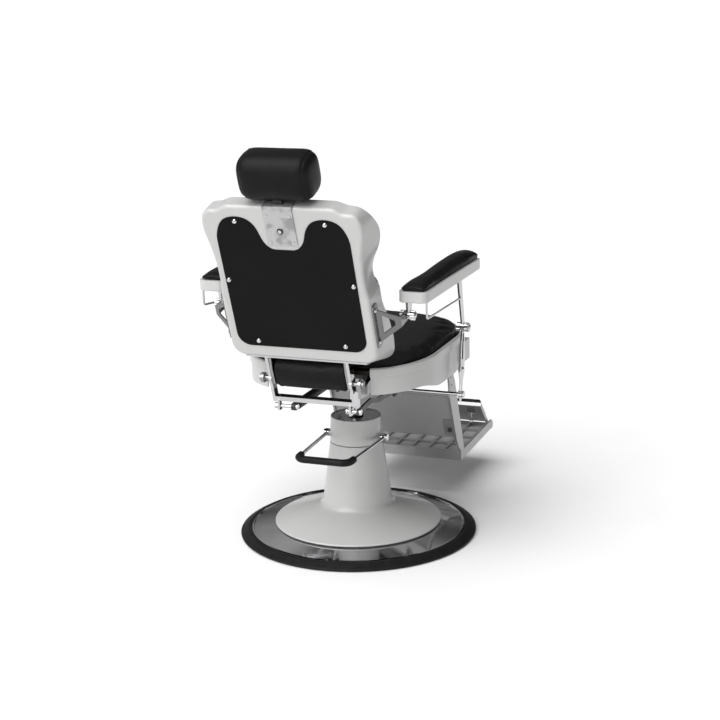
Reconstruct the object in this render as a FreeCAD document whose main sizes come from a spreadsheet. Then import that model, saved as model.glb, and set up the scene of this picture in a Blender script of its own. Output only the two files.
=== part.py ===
import FreeCAD, Part
import math
import os
import Sketcher

# Hydraulic barber chair, millimetres and degrees.
# Frame: origin on the floor under the swivel axis, +Z up, the sitter looks along -Y, +X is the sitter's left.

DRIVING = {
    "base_radius": 340,
    "ring_width": 34,
    "ring_height": 20,
    "ring_edge": 7,
    "disc_height": 10,
    "plate_sheet": 3,
    "plate_crown": 33,
    "skirt_radius": 237.5,
    "skirt_lift": 35,
    "skirt_edge": 4,
    "column_wall": 5,
    "cone_radius": 100,
    "cone_top": 86,
    "column_radius": 75,
    "column_top": 268,
    "column_fillet": 22,
    "pump_radius": 52,
    "pump_bore": 46.5,
    "pump_top": 255,
    "pump_foot_radius": 110,
    "pump_foot_height": 12,
    "pump_bolt_circle": 90,
    "pump_bolt_radius": 5,
    "barrel_radius": 40,
    "barrel_flange_radius": 62,
    "barrel_bottom": 28,
    "bush_length": 30,
    "turning_gap": 0.05,
    "loose_gap": 0.3,
    "thrust_gap": 0.4,
    "collar_top_radius": 71.8,
    "collar_top": 344,
    "collar_gap": 2,
    "cap_recess": 5,
    "cap_sheet": 3,
    "pedal_pivot_y": 3,
    "pedal_pivot_z": 285,
    "pedal_pin_radius": 6,
    "pedal_reach": 255,
    "pedal_half_width": 86,
    "grip_half_width": 75,
    "pedal_bar_radius": 5,
    "pedal_corner": 24,
    "grip_radius": 10,
    "ram_radius": 15,
    "ram_bottom": 60,
    "ram_top": 470,
    "hub_bottom": 415,
    "hub_flange_radius": 75,
    "hub_half_width": 42,
    "hub_flange_height": 12,
    "hub_bolt_circle": 55,
    "hub_bolt_radius": 5,
    "frame_bottom": 478,
    "rail_offset": 124,
    "rail_width": 10,
    "rail_bottom": 490,
    "board_bottom": 536,
    "board_height": 12,
    "seat_half_width": 265,
    "seat_rear": 275,
    "seat_front": 325,
    "seat_corner_x": 150,
    "seat_rear_corner": 222,
    "seat_front_corner": 190,
    "shell_wall": 5,
    "rim_top": 556,
    "groove_level": 532,
    "skirt_inset": 4,
    "skirt_bottom": 484,
    "skirt_deep": 458,
    "rear_notch": 148,
    "cushion_crown": 44,
    "crown_radius": 2500,
    "crown_forward": 100,
    "back_origin_y": 366.6,
    "back_origin_z": 637.3,
    "back_tilt": 19.5,
    "hinge_drop": 125,
    "hinge_depth": 14,
    "pin_drop": 207,
    "pin_depth": 4,
    "back_bottom": 46,
    "back_top": 400,
    "back_half_width": 205,
    "back_flare": 0.527,
    "back_shell_depth": 126,
    "back_cushion_depth": 124,
    "back_wall": 6,
    "panel_half_width": 180,
    "panel_bottom": 13,
    "panel_peak": 370,
    "panel_notch": 280,
    "trim_sheet": 5,
    "trim_depth": 30,
    "arm_bar_offset": 110,
    "arm_bar_width": 8,
    "crossbar_size": 14,
    "crossbar_drop": 184,
    "crossbar_depth": 10,
    "pin_radius": 5,
    "hinge_pin_radius": 6,
    "lug_offset": 134,
    "lug_width": 8,
    "seat_lug_outer": 271,
    "roll_half_length": 103,
    "arm_link_y": -27,
    "arm_link_z": 188,
    "pillar_foot_y": -88,
    "pillar_foot_z": 402,
    "pillar_offset": 283,
    "post_top_offset": 275,
    "arm_inner": 242,
    "arm_outer": 322,
    "arm_front": 170,
    "arm_rear": 312,
    "arm_bottom": 749,
    "arm_height": 29,
    "arm_pad_height": 30,
    "rail_offset_x": 315.5,
    "rail_corner_y": 291.5,
    "rail_corner_z": 706.5,
    "rail_end_z": 674,
    "knob_radius": 13,
    "leg_pivot_y": -262,
    "leg_pivot_z": 490,
    "leg_tilt": 20.2,
    "leg_half_width": 192,
    "leg_plate": 6,
    "leg_panel_top": 152,
    "leg_panel_bottom": 303,
    "footrest_y": -378,
    "footrest_z": 108,
    "footrest_tilt": -1.5,
    "footrest_length": 328,
    "footrest_height": 26,
    "footrest_rear_drop": 1,
    "flap_tilt": 47,
    "flap_length": 124,
    "headrest_half_length": 98,
    "headrest_height": 119,
    "headrest_thickness": 110,
    "headrest_centre": 467.5,
    "headrest_overhang": 9,
    "lock_anchor_y": -150,
    "lock_anchor_z": 445,
    "lock_radius": 13,
    "lock_offset": 60,
}

NEAR = 1e-4
HUB_BOLT_ANGLE = 60
BRACKET_SHEET = 4
X_AXIS = FreeCAD.Vector(1, 0, 0)

doc = FreeCAD.newDocument("barber_chair")
sheet = doc.addObject("Spreadsheet::Sheet", "Sizes")
nodes = []


class Dim:
    """A size: its value, and the expression that keeps it tied to the sheet."""

    def __init__(self, value, text):
        self.value = float(value)
        self.text = text

    def __add__(self, other):
        other = dim(other)
        return Dim(self.value + other.value, f"({self.text} + {other.text})")

    def __sub__(self, other):
        other = dim(other)
        return Dim(self.value - other.value, f"({self.text} - {other.text})")

    def __mul__(self, other):
        other = dim(other)
        return Dim(self.value * other.value, f"({self.text} * {other.text})")

    def __truediv__(self, other):
        other = dim(other)
        return Dim(self.value / other.value, f"({self.text} / {other.text})")

    def __radd__(self, other):
        return dim(other) + self

    def __rsub__(self, other):
        return dim(other) - self

    def __rmul__(self, other):
        return dim(other) * self

    def __neg__(self):
        return Dim(-self.value, f"(0 - {self.text})")


def dim(value):
    """A plain number as a Dim."""
    if isinstance(value, Dim):
        return value
    return Dim(value, f"({value:g})")


def sine(angle):
    return Dim(math.sin(math.radians(angle.value)), f"sin({angle.text} * 1deg)")


def cosine(angle):
    return Dim(math.cos(math.radians(angle.value)), f"cos({angle.text} * 1deg)")


def length_of(a, b):
    """The length of the vector (a, b)."""
    a, b = dim(a), dim(b)
    return Dim(math.hypot(a.value, b.value), f"sqrt({a.text} * {a.text} + {b.text} * {b.text})")


class Sizes:
    """The driving dimensions, read back from the sheet."""


d = Sizes()
for row, (alias, value) in enumerate(DRIVING.items(), start=1):
    sheet.set(f"A{row}", alias)
    sheet.set(f"B{row}", str(value))
    sheet.setAlias(f"B{row}", alias)
doc.recompute()
for alias in DRIVING:
    setattr(d, alias, Dim(sheet.get(alias), f"Sizes.{alias}"))


# Frames that several pieces share

class Tilted:
    """A frame turned about X: its own Y and Z run in the world's YZ plane."""

    def __init__(self, y, z, angle):
        self.y = dim(y)
        self.z = dim(z)
        self.angle = dim(angle)

    def point(self, y, z):
        """The world Y and Z of a point given in this frame."""
        y, z = dim(y), dim(z)
        world_y = self.y + y * cosine(self.angle) - z * sine(self.angle)
        world_z = self.z + y * sine(self.angle) + z * cosine(self.angle)
        return world_y, world_z


world = Tilted(0, 0, 0)
back = Tilted(d.back_origin_y, d.back_origin_z, -d.back_tilt)
leg = Tilted(d.leg_pivot_y, d.leg_pivot_z, -d.leg_tilt)
footrest = Tilted(d.footrest_y, d.footrest_z, d.footrest_tilt)

hinge_y, hinge_z = back.point(-d.hinge_depth, -d.hinge_drop)
cross_pin_y, cross_pin_z = back.point(-d.pin_depth, -d.pin_drop)
leg_pin_y = d.leg_pivot_y + cross_pin_y - hinge_y
leg_pin_z = d.leg_pivot_z + cross_pin_z - hinge_z
rear_arm_y = hinge_y + d.arm_link_y
rear_arm_z = hinge_z + d.arm_link_z
front_arm_y = d.pillar_foot_y + d.arm_link_y
front_arm_z = d.pillar_foot_z + d.arm_link_z
FLAP_PIVOT_RISE = 10
flap_y, flap_z = footrest.point(3 - d.footrest_length, FLAP_PIVOT_RISE)
flap = Tilted(flap_y, flap_z, d.flap_tilt)


# Building helpers

def bind(obj, prop, size):
    """Tie one property of an object to the sheet."""
    size = dim(size)
    setattr(obj, prop, size.value)
    obj.setExpression(prop, size.text)


def place(obj, x, y, z, angle=0, axis=X_AXIS):
    """Put an object at x, y, z, turned about an axis, and keep it tied to the sheet."""
    x, y, z, angle = dim(x), dim(y), dim(z), dim(angle)
    turn = FreeCAD.Rotation(axis, angle.value)
    obj.Placement = FreeCAD.Placement(FreeCAD.Vector(x.value, y.value, z.value), turn)
    obj.setExpression("Placement.Base.x", x.text)
    obj.setExpression("Placement.Base.y", y.text)
    obj.setExpression("Placement.Base.z", z.text)
    if axis == X_AXIS and angle.text.find("Sizes") >= 0:
        obj.setExpression("Placement.Rotation.Angle", f"{angle.text} * 1deg")
    return obj


def node(obj, label):
    """Name a finished sub-part and keep it for the export."""
    obj.Label = label
    nodes.append(obj)
    return obj


def box(x0, x1, y0, y1, z0, z1, frame=world, name="box"):
    """A block between two corners of a frame."""
    obj = doc.addObject("Part::Box", name)
    bind(obj, "Length", dim(x1) - x0)
    bind(obj, "Width", dim(y1) - y0)
    bind(obj, "Height", dim(z1) - z0)
    y, z = frame.point(y0, z0)
    return place(obj, x0, y, z, frame.angle)


def cylinder_z(radius, z0, z1, x=0, y=0, name="cylinder"):
    """An upright cylinder."""
    obj = doc.addObject("Part::Cylinder", name)
    bind(obj, "Radius", radius)
    bind(obj, "Height", dim(z1) - z0)
    return place(obj, x, y, z0)


def cylinder_x(radius, x0, x1, y, z, frame=world, name="cylinder"):
    """A cylinder along X, its centre given in a frame."""
    obj = doc.addObject("Part::Cylinder", name)
    bind(obj, "Radius", radius)
    bind(obj, "Height", dim(x1) - x0)
    world_y, world_z = frame.point(y, z)
    return place(obj, x0, world_y, world_z, 90, FreeCAD.Vector(0, 1, 0))


def rod(radius, x, start, end, top_radius=None, name="rod"):
    """A rod or cone between two world points (y, z) in a plane of constant x."""
    run_y = dim(end[0]) - start[0]
    run_z = dim(end[1]) - start[1]
    if top_radius is None:
        obj = doc.addObject("Part::Cylinder", name)
        bind(obj, "Radius", radius)
    else:
        obj = doc.addObject("Part::Cone", name)
        bind(obj, "Radius1", radius)
        bind(obj, "Radius2", top_radius)
    bind(obj, "Height", length_of(run_y, run_z))
    turn = math.degrees(math.atan2(-run_y.value, run_z.value))
    place(obj, x, start[0], start[1], turn)
    obj.setExpression("Placement.Rotation.Angle", f"atan2(0 - {run_y.text}; {run_z.text})")
    return obj


def fuse(shapes, name="fused"):
    obj = doc.addObject("Part::MultiFuse", name)
    obj.Shapes = shapes
    return obj


def cut(base, tool, name="cut"):
    obj = doc.addObject("Part::Cut", name)
    obj.Base = base
    obj.Tool = tool
    return obj


def group(shapes, name="group"):
    """Separate solids in one sub-part."""
    obj = doc.addObject("Part::Compound", name)
    obj.Links = shapes
    return obj


def mirrored(source, name="mirrored"):
    """The same piece on the other side of the chair."""
    obj = doc.addObject("Part::Mirroring", name)
    obj.Source = source
    obj.Normal = X_AXIS
    obj.Base = FreeCAD.Vector(0, 0, 0)
    return obj


def origin_plane(body, role):
    return [item for item in body.Origin.OriginFeatures if item.Role == role][0]


def sketch_on(body, role, points, offset=0):
    """A closed outline of straight sides whose corners are all tied to the sheet."""
    sketch = body.newObject("Sketcher::SketchObject", "outline")
    sketch.AttachmentSupport = [(origin_plane(body, role), "")]
    sketch.MapMode = "FlatFace"
    offset = dim(offset)
    sketch.AttachmentOffset = FreeCAD.Placement(FreeCAD.Vector(0, 0, offset.value), FreeCAD.Rotation())
    sketch.setExpression("AttachmentOffset.Base.z", offset.text)
    corners = [(dim(u), dim(v)) for u, v in points]
    count = len(corners)
    for i, (u, v) in enumerate(corners):
        next_u, next_v = corners[(i + 1) % count]
        start = FreeCAD.Vector(u.value, v.value, 0)
        end = FreeCAD.Vector(next_u.value, next_v.value, 0)
        sketch.addGeometry(Part.LineSegment(start, end), False)
    for i in range(count):
        sketch.addConstraint(Sketcher.Constraint("Coincident", i, 2, (i + 1) % count, 1))
    for i, (u, v) in enumerate(corners):
        across = sketch.addConstraint(Sketcher.Constraint("DistanceX", -1, 1, i, 1, u.value))
        sketch.setExpression(f"Constraints[{across}]", u.text)
        up = sketch.addConstraint(Sketcher.Constraint("DistanceY", -1, 1, i, 1, v.value))
        sketch.setExpression(f"Constraints[{up}]", v.text)
    return sketch


def turned(points, name="turned"):
    """A body of revolution about Z; points are (radius, height)."""
    body = doc.addObject("PartDesign::Body", name)
    sketch = sketch_on(body, "XZ_Plane", points)
    feature = body.newObject("PartDesign::Revolution", "revolution")
    feature.Profile = sketch
    feature.ReferenceAxis = (sketch, ["V_Axis"])
    feature.Angle = 360
    body.Tip = feature
    return body


def plate(points, x0, thickness, frame=world, name="plate"):
    """A plate in a YZ plane of a frame; points are (y, z)."""
    body = doc.addObject("PartDesign::Body", name)
    sketch = sketch_on(body, "YZ_Plane", points, x0)
    feature = body.newObject("PartDesign::Pad", "pad")
    feature.Profile = sketch
    bind(feature, "Length", thickness)
    body.Tip = feature
    return place(body, 0, frame.y, frame.z, frame.angle)


def round_rims(body, rims):
    """Round circular edges of a turned body; rims are (radius, height, fillet)."""
    doc.recompute()
    for edge_radius, height, fillet in rims:
        edge_radius, height = dim(edge_radius), dim(height)
        tip = body.Tip
        names = []
        for i, edge in enumerate(tip.Shape.Edges, start=1):
            circle = edge.Curve
            if not hasattr(circle, "Radius"):
                continue
            if abs(circle.Radius - edge_radius.value) < 0.01 and abs(circle.Center.z - height.value) < 0.01:
                names.append(f"Edge{i}")
        feature = body.newObject("PartDesign::Fillet", "rounding")
        feature.Base = (tip, names)
        bind(feature, "Radius", fillet)
        body.Tip = feature
        doc.recompute()
    return body


def round_corners(body, corners, fillet):
    """Round the edges of a plate that stand on the given corners of its outline."""
    doc.recompute()
    tip = body.Tip
    axis = 0 if tip.Profile[0].AttachmentSupport[0][0].Role == "YZ_Plane" else 2
    names = []
    for i, edge in enumerate(tip.Shape.Edges, start=1):
        first, last = edge.Vertexes[0].Point, edge.Vertexes[-1].Point
        flat_first = [value for k, value in enumerate(first) if k != axis]
        flat_last = [value for k, value in enumerate(last) if k != axis]
        if max(abs(flat_first[0] - flat_last[0]), abs(flat_first[1] - flat_last[1])) > 0.01:
            continue
        for u, v in corners:
            u, v = dim(u), dim(v)
            if abs(flat_first[0] - u.value) < 0.01 and abs(flat_first[1] - v.value) < 0.01:
                names.append(f"Edge{i}")
    feature = body.newObject("PartDesign::Fillet", "rounding")
    feature.Base = (tip, names)
    bind(feature, "Radius", fillet)
    body.Tip = feature
    return body


def shape_of(shape, x=0, y=0, z=0, angle=0, name="form"):
    """A free form made from shapes, placed like every other piece."""
    obj = doc.addObject("Part::Feature", name)
    obj.Shape = shape
    return place(obj, x, y, z, angle)


def eye_bar(points, x0, thickness, eyes, frame=world):
    """A flat bar with round eyes; eyes are (y, z, outer radius, bore)."""
    solids = [plate(points, x0, thickness, frame)]
    bores = []
    for y, z, outer, bore in eyes:
        solids.append(cylinder_x(outer, x0, dim(x0) + thickness, y, z, frame))
        bores.append(cylinder_x(bore, dim(x0) - 1, dim(x0) + thickness + 1, y, z, frame))
    bar = fuse(solids)
    for bore in bores:
        bar = cut(bar, bore)
    return bar


def vector(x, y, z=0):
    return FreeCAD.Vector(x, y, z)


def pipe(points, radius, corner):
    """A round bar along straight runs with rounded corners; points are plain vectors."""
    edges = []
    start = points[0]
    for before, here, after in zip(points, points[1:], points[2:]):
        come = (here - before).normalize()
        leave = (after - here).normalize()
        turn = come.getAngle(leave)
        trim = corner * math.tan(turn / 2)
        first = here - come * trim
        last = here + leave * trim
        bow = (leave - come).normalize()
        middle = here + bow * (corner / math.cos(turn / 2) - corner)
        edges.append(Part.LineSegment(start, first).toShape())
        edges.append(Part.Arc(first, middle, last).toShape())
        start = last
    edges.append(Part.LineSegment(start, points[-1]).toShape())
    path = Part.Wire(edges)
    heading = (points[1] - points[0]).normalize()
    section = Part.Wire([Part.Circle(points[0], heading, radius).toShape()])
    return path.makePipeShell([section], True, False)


# Base

def build_base_ring():
    """Rubber ring round the foot of the chair, flat on the floor and sloping down to its outer edge."""
    inner = d.base_radius - d.ring_width
    ridge = inner + 10
    body = turned([(inner + 1, 0), (d.base_radius - 8, 0), (d.base_radius, d.ring_edge),
                   (ridge, d.ring_height), (inner, d.ring_height), (inner, 1)])
    rims = [(d.base_radius, d.ring_edge, 3), (ridge, d.ring_height, 12)]
    node(round_rims(body, rims), "base_ring")


def build_base_disc():
    """Heavy steel disc that keeps the chair from tipping."""
    disc = cylinder_z(d.base_radius - d.ring_width, 0, d.disc_height)
    holes = bolt_shanks(d.pump_bolt_circle, d.pump_bolt_radius, 3, d.disc_height + 1)
    node(cut(disc, holes), "base_disc")


def bolt_angles(first):
    """Four bolts placed evenly about both axes, the first at an angle from +X."""
    return [math.radians(angle) for angle in (first, 180 - first, 180 + first, 360 - first)]


def bolt_shanks(circle, radius, z0, z1, first=45):
    shanks = []
    for angle in bolt_angles(first):
        shanks.append(cylinder_z(radius, z0, z1, dim(circle) * math.cos(angle), dim(circle) * math.sin(angle)))
    return group(shanks)


def hex_bolts(circle, radius, z_tip, z_seat, z_head, first=45):
    """Four hexagon bolts; the head lies between z_seat and z_head, the shank runs on to z_tip."""
    bolts = []
    low = z_seat if z_head.value > z_seat.value else z_head
    for angle in bolt_angles(first):
        x, y = dim(circle) * math.cos(angle), dim(circle) * math.sin(angle)
        head = doc.addObject("Part::Prism", "head")
        bind(head, "Circumradius", dim(radius) * 1.85)
        bind(head, "Height", Dim(abs(z_head.value - z_seat.value), f"abs({z_head.text} - {z_seat.text})"))
        place(head, x, y, low)
        shank_low, shank_high = (z_tip, z_seat) if z_tip.value < z_seat.value else (z_seat, z_tip)
        shank = cylinder_z(radius, shank_low, shank_high, x, y)
        bolts.append(fuse([head, shank]))
    return group(bolts)


def build_base_plate():
    """Chromed cover plate, pressed from sheet, with a rolled bead inside the rubber ring."""
    outer = d.base_radius - d.ring_width - 1
    bead = d.ring_height + 1
    under = d.plate_crown - d.plate_sheet
    body = turned([(outer, d.disc_height), (outer, bead - 1), (outer - 3, bead), (outer - 6, bead - 3),
                   (d.skirt_radius - 12, d.plate_crown), (100, d.plate_crown), (100, under),
                   (d.skirt_radius - 13, under), (outer - 6, bead - 6), (outer - 3, bead - 6),
                   (outer - 3, d.disc_height)])
    node(body, "base_plate")


def build_column():
    """White enamelled column: a shallow cone that sweeps up into a tapered tube."""
    wall = d.column_wall
    rim = d.skirt_radius
    body = turned([(rim, d.skirt_lift), (rim, d.skirt_lift + d.skirt_edge), (d.cone_radius, d.cone_top),
                   (d.column_radius, d.column_top), (d.column_radius - wall, d.column_top),
                   (d.cone_radius - wall - 0.5, d.cone_top - 2), (rim - 15.5, d.skirt_lift + 5),
                   (rim - 15.5, d.plate_crown), (rim - 11.5, d.plate_crown), (rim - 11.5, d.skirt_lift)])
    rims = [(d.cone_radius, d.cone_top, d.column_fillet), (rim, d.skirt_lift + d.skirt_edge, 3)]
    node(round_rims(body, rims), "column_skirt")


def build_pump():
    """Pump cylinder in the column, its bushes and the barrel that turns in them."""
    foot_top = d.disc_height + d.pump_foot_height
    cylinder = turned([(0, d.disc_height), (d.pump_foot_radius, d.disc_height), (d.pump_foot_radius, foot_top),
                       (d.pump_radius, foot_top), (d.pump_radius, d.pump_top), (d.pump_bore, d.pump_top),
                       (d.pump_bore, foot_top), (0, foot_top)])
    holes = bolt_shanks(d.pump_bolt_circle, d.pump_bolt_radius, d.disc_height - 1, foot_top + 1)
    node(cut(cylinder, holes), "pump_cylinder")
    node(hex_bolts(d.pump_bolt_circle, d.pump_bolt_radius, dim(3), foot_top, foot_top + 7), "pump_bolts")
    bushes = []
    for bottom in (foot_top + 8, d.pump_top - d.bush_length):
        outer = cylinder_z(d.pump_bore, bottom, bottom + d.bush_length)
        inner = cylinder_z(d.barrel_radius + d.turning_gap, bottom - 1, bottom + d.bush_length + 1)
        bushes.append(cut(outer, inner))
    node(group(bushes), "swivel_bushes")
    flange_bottom = d.pump_top + d.thrust_gap
    flange_top = d.column_top + d.collar_gap
    bore = d.ram_radius + d.turning_gap
    cap_seat = d.collar_top - d.cap_recess
    barrel = turned([(0, d.barrel_bottom), (d.barrel_radius, d.barrel_bottom), (d.barrel_radius, flange_bottom),
                     (d.barrel_flange_radius, flange_bottom), (d.barrel_flange_radius, flange_top),
                     (d.barrel_radius, flange_top), (d.barrel_radius, cap_seat), (bore, cap_seat),
                     (bore, d.barrel_bottom + 12), (0, d.barrel_bottom + 12)])
    node(barrel, "pump_barrel")


def build_collar():
    """White collar that turns with the seat, its dark cap and the wiper round the ram."""
    bottom = d.column_top + d.collar_gap
    seat = d.collar_top - d.cap_recess
    ring = turned([(d.barrel_radius, bottom), (d.column_radius - 1, bottom), (d.column_radius, bottom + 1),
                   (d.collar_top_radius, d.collar_top), (d.collar_top_radius - 5, d.collar_top),
                   (d.collar_top_radius - 5, seat), (d.barrel_radius, seat)])
    round_rims(ring, [(d.collar_top_radius, d.collar_top, 2)])
    pin_hole = cylinder_x(d.pedal_pin_radius, -100, 100, d.pedal_pivot_y, d.pedal_pivot_z)
    core = cylinder_z(60, bottom, seat)
    node(cut(ring, cut(pin_hole, core)), "pump_collar")
    disc = cylinder_z(d.collar_top_radius - 5, seat, seat + d.cap_sheet)
    node(cut(disc, cylinder_z(d.ram_radius + d.loose_gap, seat - 1, seat + d.cap_sheet + 1)), "collar_cap")
    wiper = cylinder_z(d.ram_radius + 6, seat + d.cap_sheet, seat + d.cap_sheet + 5)
    bore = cylinder_z(d.ram_radius + d.loose_gap, seat, seat + d.cap_sheet + 6)
    node(cut(wiper, bore), "ram_wiper")


def build_pedal():
    """Pump pedal: a bent bar on two pins, with a rubber grip over its corners."""
    pin = fuse([cylinder_x(d.pedal_pin_radius, 60, 92, d.pedal_pivot_y, d.pedal_pivot_z),
                cylinder_x(d.pedal_pin_radius + 3.5, 92, 96, d.pedal_pivot_y, d.pedal_pivot_z)])
    node(group([pin, mirrored(pin)]), "pedal_pins")
    half = d.pedal_half_width.value
    wide = d.grip_half_width.value
    reach = d.pedal_reach.value
    radius = d.pedal_bar_radius.value
    corner = d.pedal_corner.value
    ends = [vector(half, 8, 0), vector(wide, reach, 0), vector(-wide, reach, 0), vector(-half, 8, 0)]
    bar = pipe(ends, radius, corner)
    bore = d.pedal_pin_radius.value + d.turning_gap.value
    for side in (1, -1):
        eye_start = vector(side * half - 5.5, 0, 0)
        bore_start = vector(side * half - 7, 0, 0)
        bar = bar.fuse(Part.makeCylinder(d.pedal_pin_radius.value + 5, 11, eye_start, X_AXIS))
        bar = bar.cut(Part.makeCylinder(bore, 14, bore_start, X_AXIS))
    node(shape_of(bar, 0, d.pedal_pivot_y, d.pedal_pivot_z), "pedal_bar")
    sleeve_length = corner + 14
    side_run = (ends[0] - ends[1]).normalize()
    start = ends[1] + side_run * sleeve_length
    sleeve_ends = [start, ends[1], ends[2], vector(-start.x, start.y, 0)]
    sleeve = pipe(sleeve_ends, d.grip_radius.value, corner)
    sleeve = sleeve.cut(pipe(ends, radius, corner))
    node(shape_of(sleeve, 0, d.pedal_pivot_y, d.pedal_pivot_z), "pedal_grip")


# Seat

def seat_outline(inset, z, rear_inset=0):
    """The seat's plan: straight sides, quarter ellipses at the corners, flat front and rear."""
    half = d.seat_half_width.value - inset
    rear = d.seat_rear.value - inset - rear_inset
    front = -(d.seat_front.value - inset)
    wide = d.seat_corner_x.value - inset
    deep_rear = d.seat_rear_corner.value - inset - rear_inset
    deep_front = d.seat_front_corner.value - inset
    edges = []

    def quarter(centre_x, centre_y, semi_x, semi_y, start):
        """A quarter ellipse from angle start, counter-clockwise."""
        if semi_x >= semi_y:
            curve = Part.Ellipse(vector(centre_x + semi_x, centre_y, z), vector(centre_x, centre_y + semi_y, z),
                                 vector(centre_x, centre_y, z))
            first = math.radians(start)
        else:
            curve = Part.Ellipse(vector(centre_x, centre_y + semi_y, z), vector(centre_x - semi_x, centre_y, z),
                                 vector(centre_x, centre_y, z))
            first = math.radians(start - 90)
        return Part.ArcOfEllipse(curve, first, first + math.pi / 2).toShape()

    right = half - wide
    edges.append(quarter(right, rear - deep_rear, wide, deep_rear, 0))
    edges.append(Part.LineSegment(vector(right, rear, z), vector(-right, rear, z)).toShape())
    edges.append(quarter(-right, rear - deep_rear, wide, deep_rear, 90))
    edges.append(Part.LineSegment(vector(-half, rear - deep_rear, z), vector(-half, front + deep_front, z)).toShape())
    edges.append(quarter(-right, front + deep_front, wide, deep_front, 180))
    edges.append(Part.LineSegment(vector(-right, front, z), vector(right, front, z)).toShape())
    edges.append(quarter(right, front + deep_front, wide, deep_front, 270))
    edges.append(Part.LineSegment(vector(half, front + deep_front, z), vector(half, rear - deep_rear, z)).toShape())
    return Part.Wire(edges)


def seat_slab(inset, z0, z1):
    """A level slab with the seat's plan."""
    return Part.Face(seat_outline(inset, z0)).extrude(vector(0, 0, z1 - z0))


def build_ram_and_hub():
    """Chrome ram and the casting on its top, cut flat at the sides to pass the lock cylinder."""
    bore = d.ram_radius
    node(cylinder_z(bore, d.ram_bottom, d.ram_top), "ram")
    low = d.frame_bottom - d.hub_flange_height
    hub = turned([(bore, d.hub_bottom), (bore + 8, d.hub_bottom), (bore + 10, d.hub_bottom + 2), (bore + 19, low),
                  (d.hub_flange_radius, low), (d.hub_flange_radius, d.frame_bottom), (0, d.frame_bottom),
                  (0, d.ram_top), (bore, d.ram_top)])
    reach = d.hub_flange_radius + 5
    sides = group([box(d.hub_half_width, reach, -reach, reach, low - 1, d.frame_bottom + 1),
                   box(-reach, -d.hub_half_width, -reach, reach, low - 1, d.frame_bottom + 1)])
    holes = bolt_shanks(d.hub_bolt_circle, d.hub_bolt_radius, low - 1, d.frame_bottom + 1, HUB_BOLT_ANGLE)
    node(cut(cut(hub, sides), holes), "seat_hub")
    bolts = hex_bolts(d.hub_bolt_circle, d.hub_bolt_radius, d.rail_bottom, low, low - 6, HUB_BOLT_ANGLE)
    node(bolts, "hub_bolts")


def build_seat_frame():
    """Welded frame under the seat: rails, cross members and the ears that carry the linkages."""
    rail_outer = d.rail_offset + d.rail_width
    front = d.leg_pivot_y + 17
    rear = d.seat_rear - 13
    ear_width = 8
    ear_outer = d.leg_half_width + 3 + ear_width
    parts = [box(d.rail_offset, rail_outer, front, rear, d.rail_bottom, d.board_bottom),
             box(-rail_outer, -d.rail_offset, front, rear, d.rail_bottom, d.board_bottom),
             box(-rail_outer, rail_outer, -100, 100, d.frame_bottom, d.rail_bottom),
             box(-ear_outer, ear_outer, front, front + 10, d.rail_bottom + 10, d.board_bottom),
             box(-rail_outer, rail_outer, d.lock_anchor_y - 8, d.lock_anchor_y + 8, d.rail_bottom, 520)]
    shaft_bore = d.hinge_pin_radius
    for side in (1, -1):
        ear_x = ear_outer - ear_width if side > 0 else -ear_outer
        ear = [(d.leg_pivot_y - 9, d.leg_pivot_z - 16), (front + 10, d.leg_pivot_z - 16),
               (front + 10, d.board_bottom), (d.leg_pivot_y - 9, d.board_bottom)]
        parts.append(plate(ear, ear_x, ear_width))
        hanger_x = dim(84 if side > 0 else -90)
        hanger = [(d.pillar_foot_y - 12, d.pillar_foot_z - 20), (d.pillar_foot_y + 12, d.pillar_foot_z - 20),
                  (d.pillar_foot_y + 18, d.frame_bottom), (d.pillar_foot_y - 12, d.frame_bottom)]
        parts.append(plate(hanger, hanger_x, 6))
    for ear_x in (d.lock_offset - 15, d.lock_offset + 9):
        anchor = [(d.lock_anchor_y - 12, d.lock_anchor_z - 14), (d.lock_anchor_y + 12, d.lock_anchor_z - 14),
                  (d.lock_anchor_y + 8, d.rail_bottom), (d.lock_anchor_y - 8, d.rail_bottom)]
        parts.append(plate(anchor, ear_x, 6))
    parts.append(cylinder_x(d.pin_radius, d.lock_offset - 15, d.lock_offset + 15, d.lock_anchor_y, d.lock_anchor_z))
    frame = fuse(parts)
    leg_bore = cylinder_x(shaft_bore, -ear_outer - 1, ear_outer + 1, d.leg_pivot_y, d.leg_pivot_z)
    cross_bore = cylinder_x(d.pin_radius, -100, 100, d.pillar_foot_y, d.pillar_foot_z)
    bolt_holes = bolt_shanks(d.hub_bolt_circle, d.hub_bolt_radius, d.frame_bottom - 1, d.rail_bottom + 1,
                             HUB_BOLT_ANGLE)
    frame = cut(cut(cut(frame, leg_bore), cross_bore), bolt_holes)
    node(frame, "seat_frame")


def rim_edges(slab, z):
    """The edges of a level slab that lie at one height."""
    return [edge for edge in slab.Edges if abs(edge.BoundBox.ZMin - z) < NEAR and edge.BoundBox.ZLength < NEAR]


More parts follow.
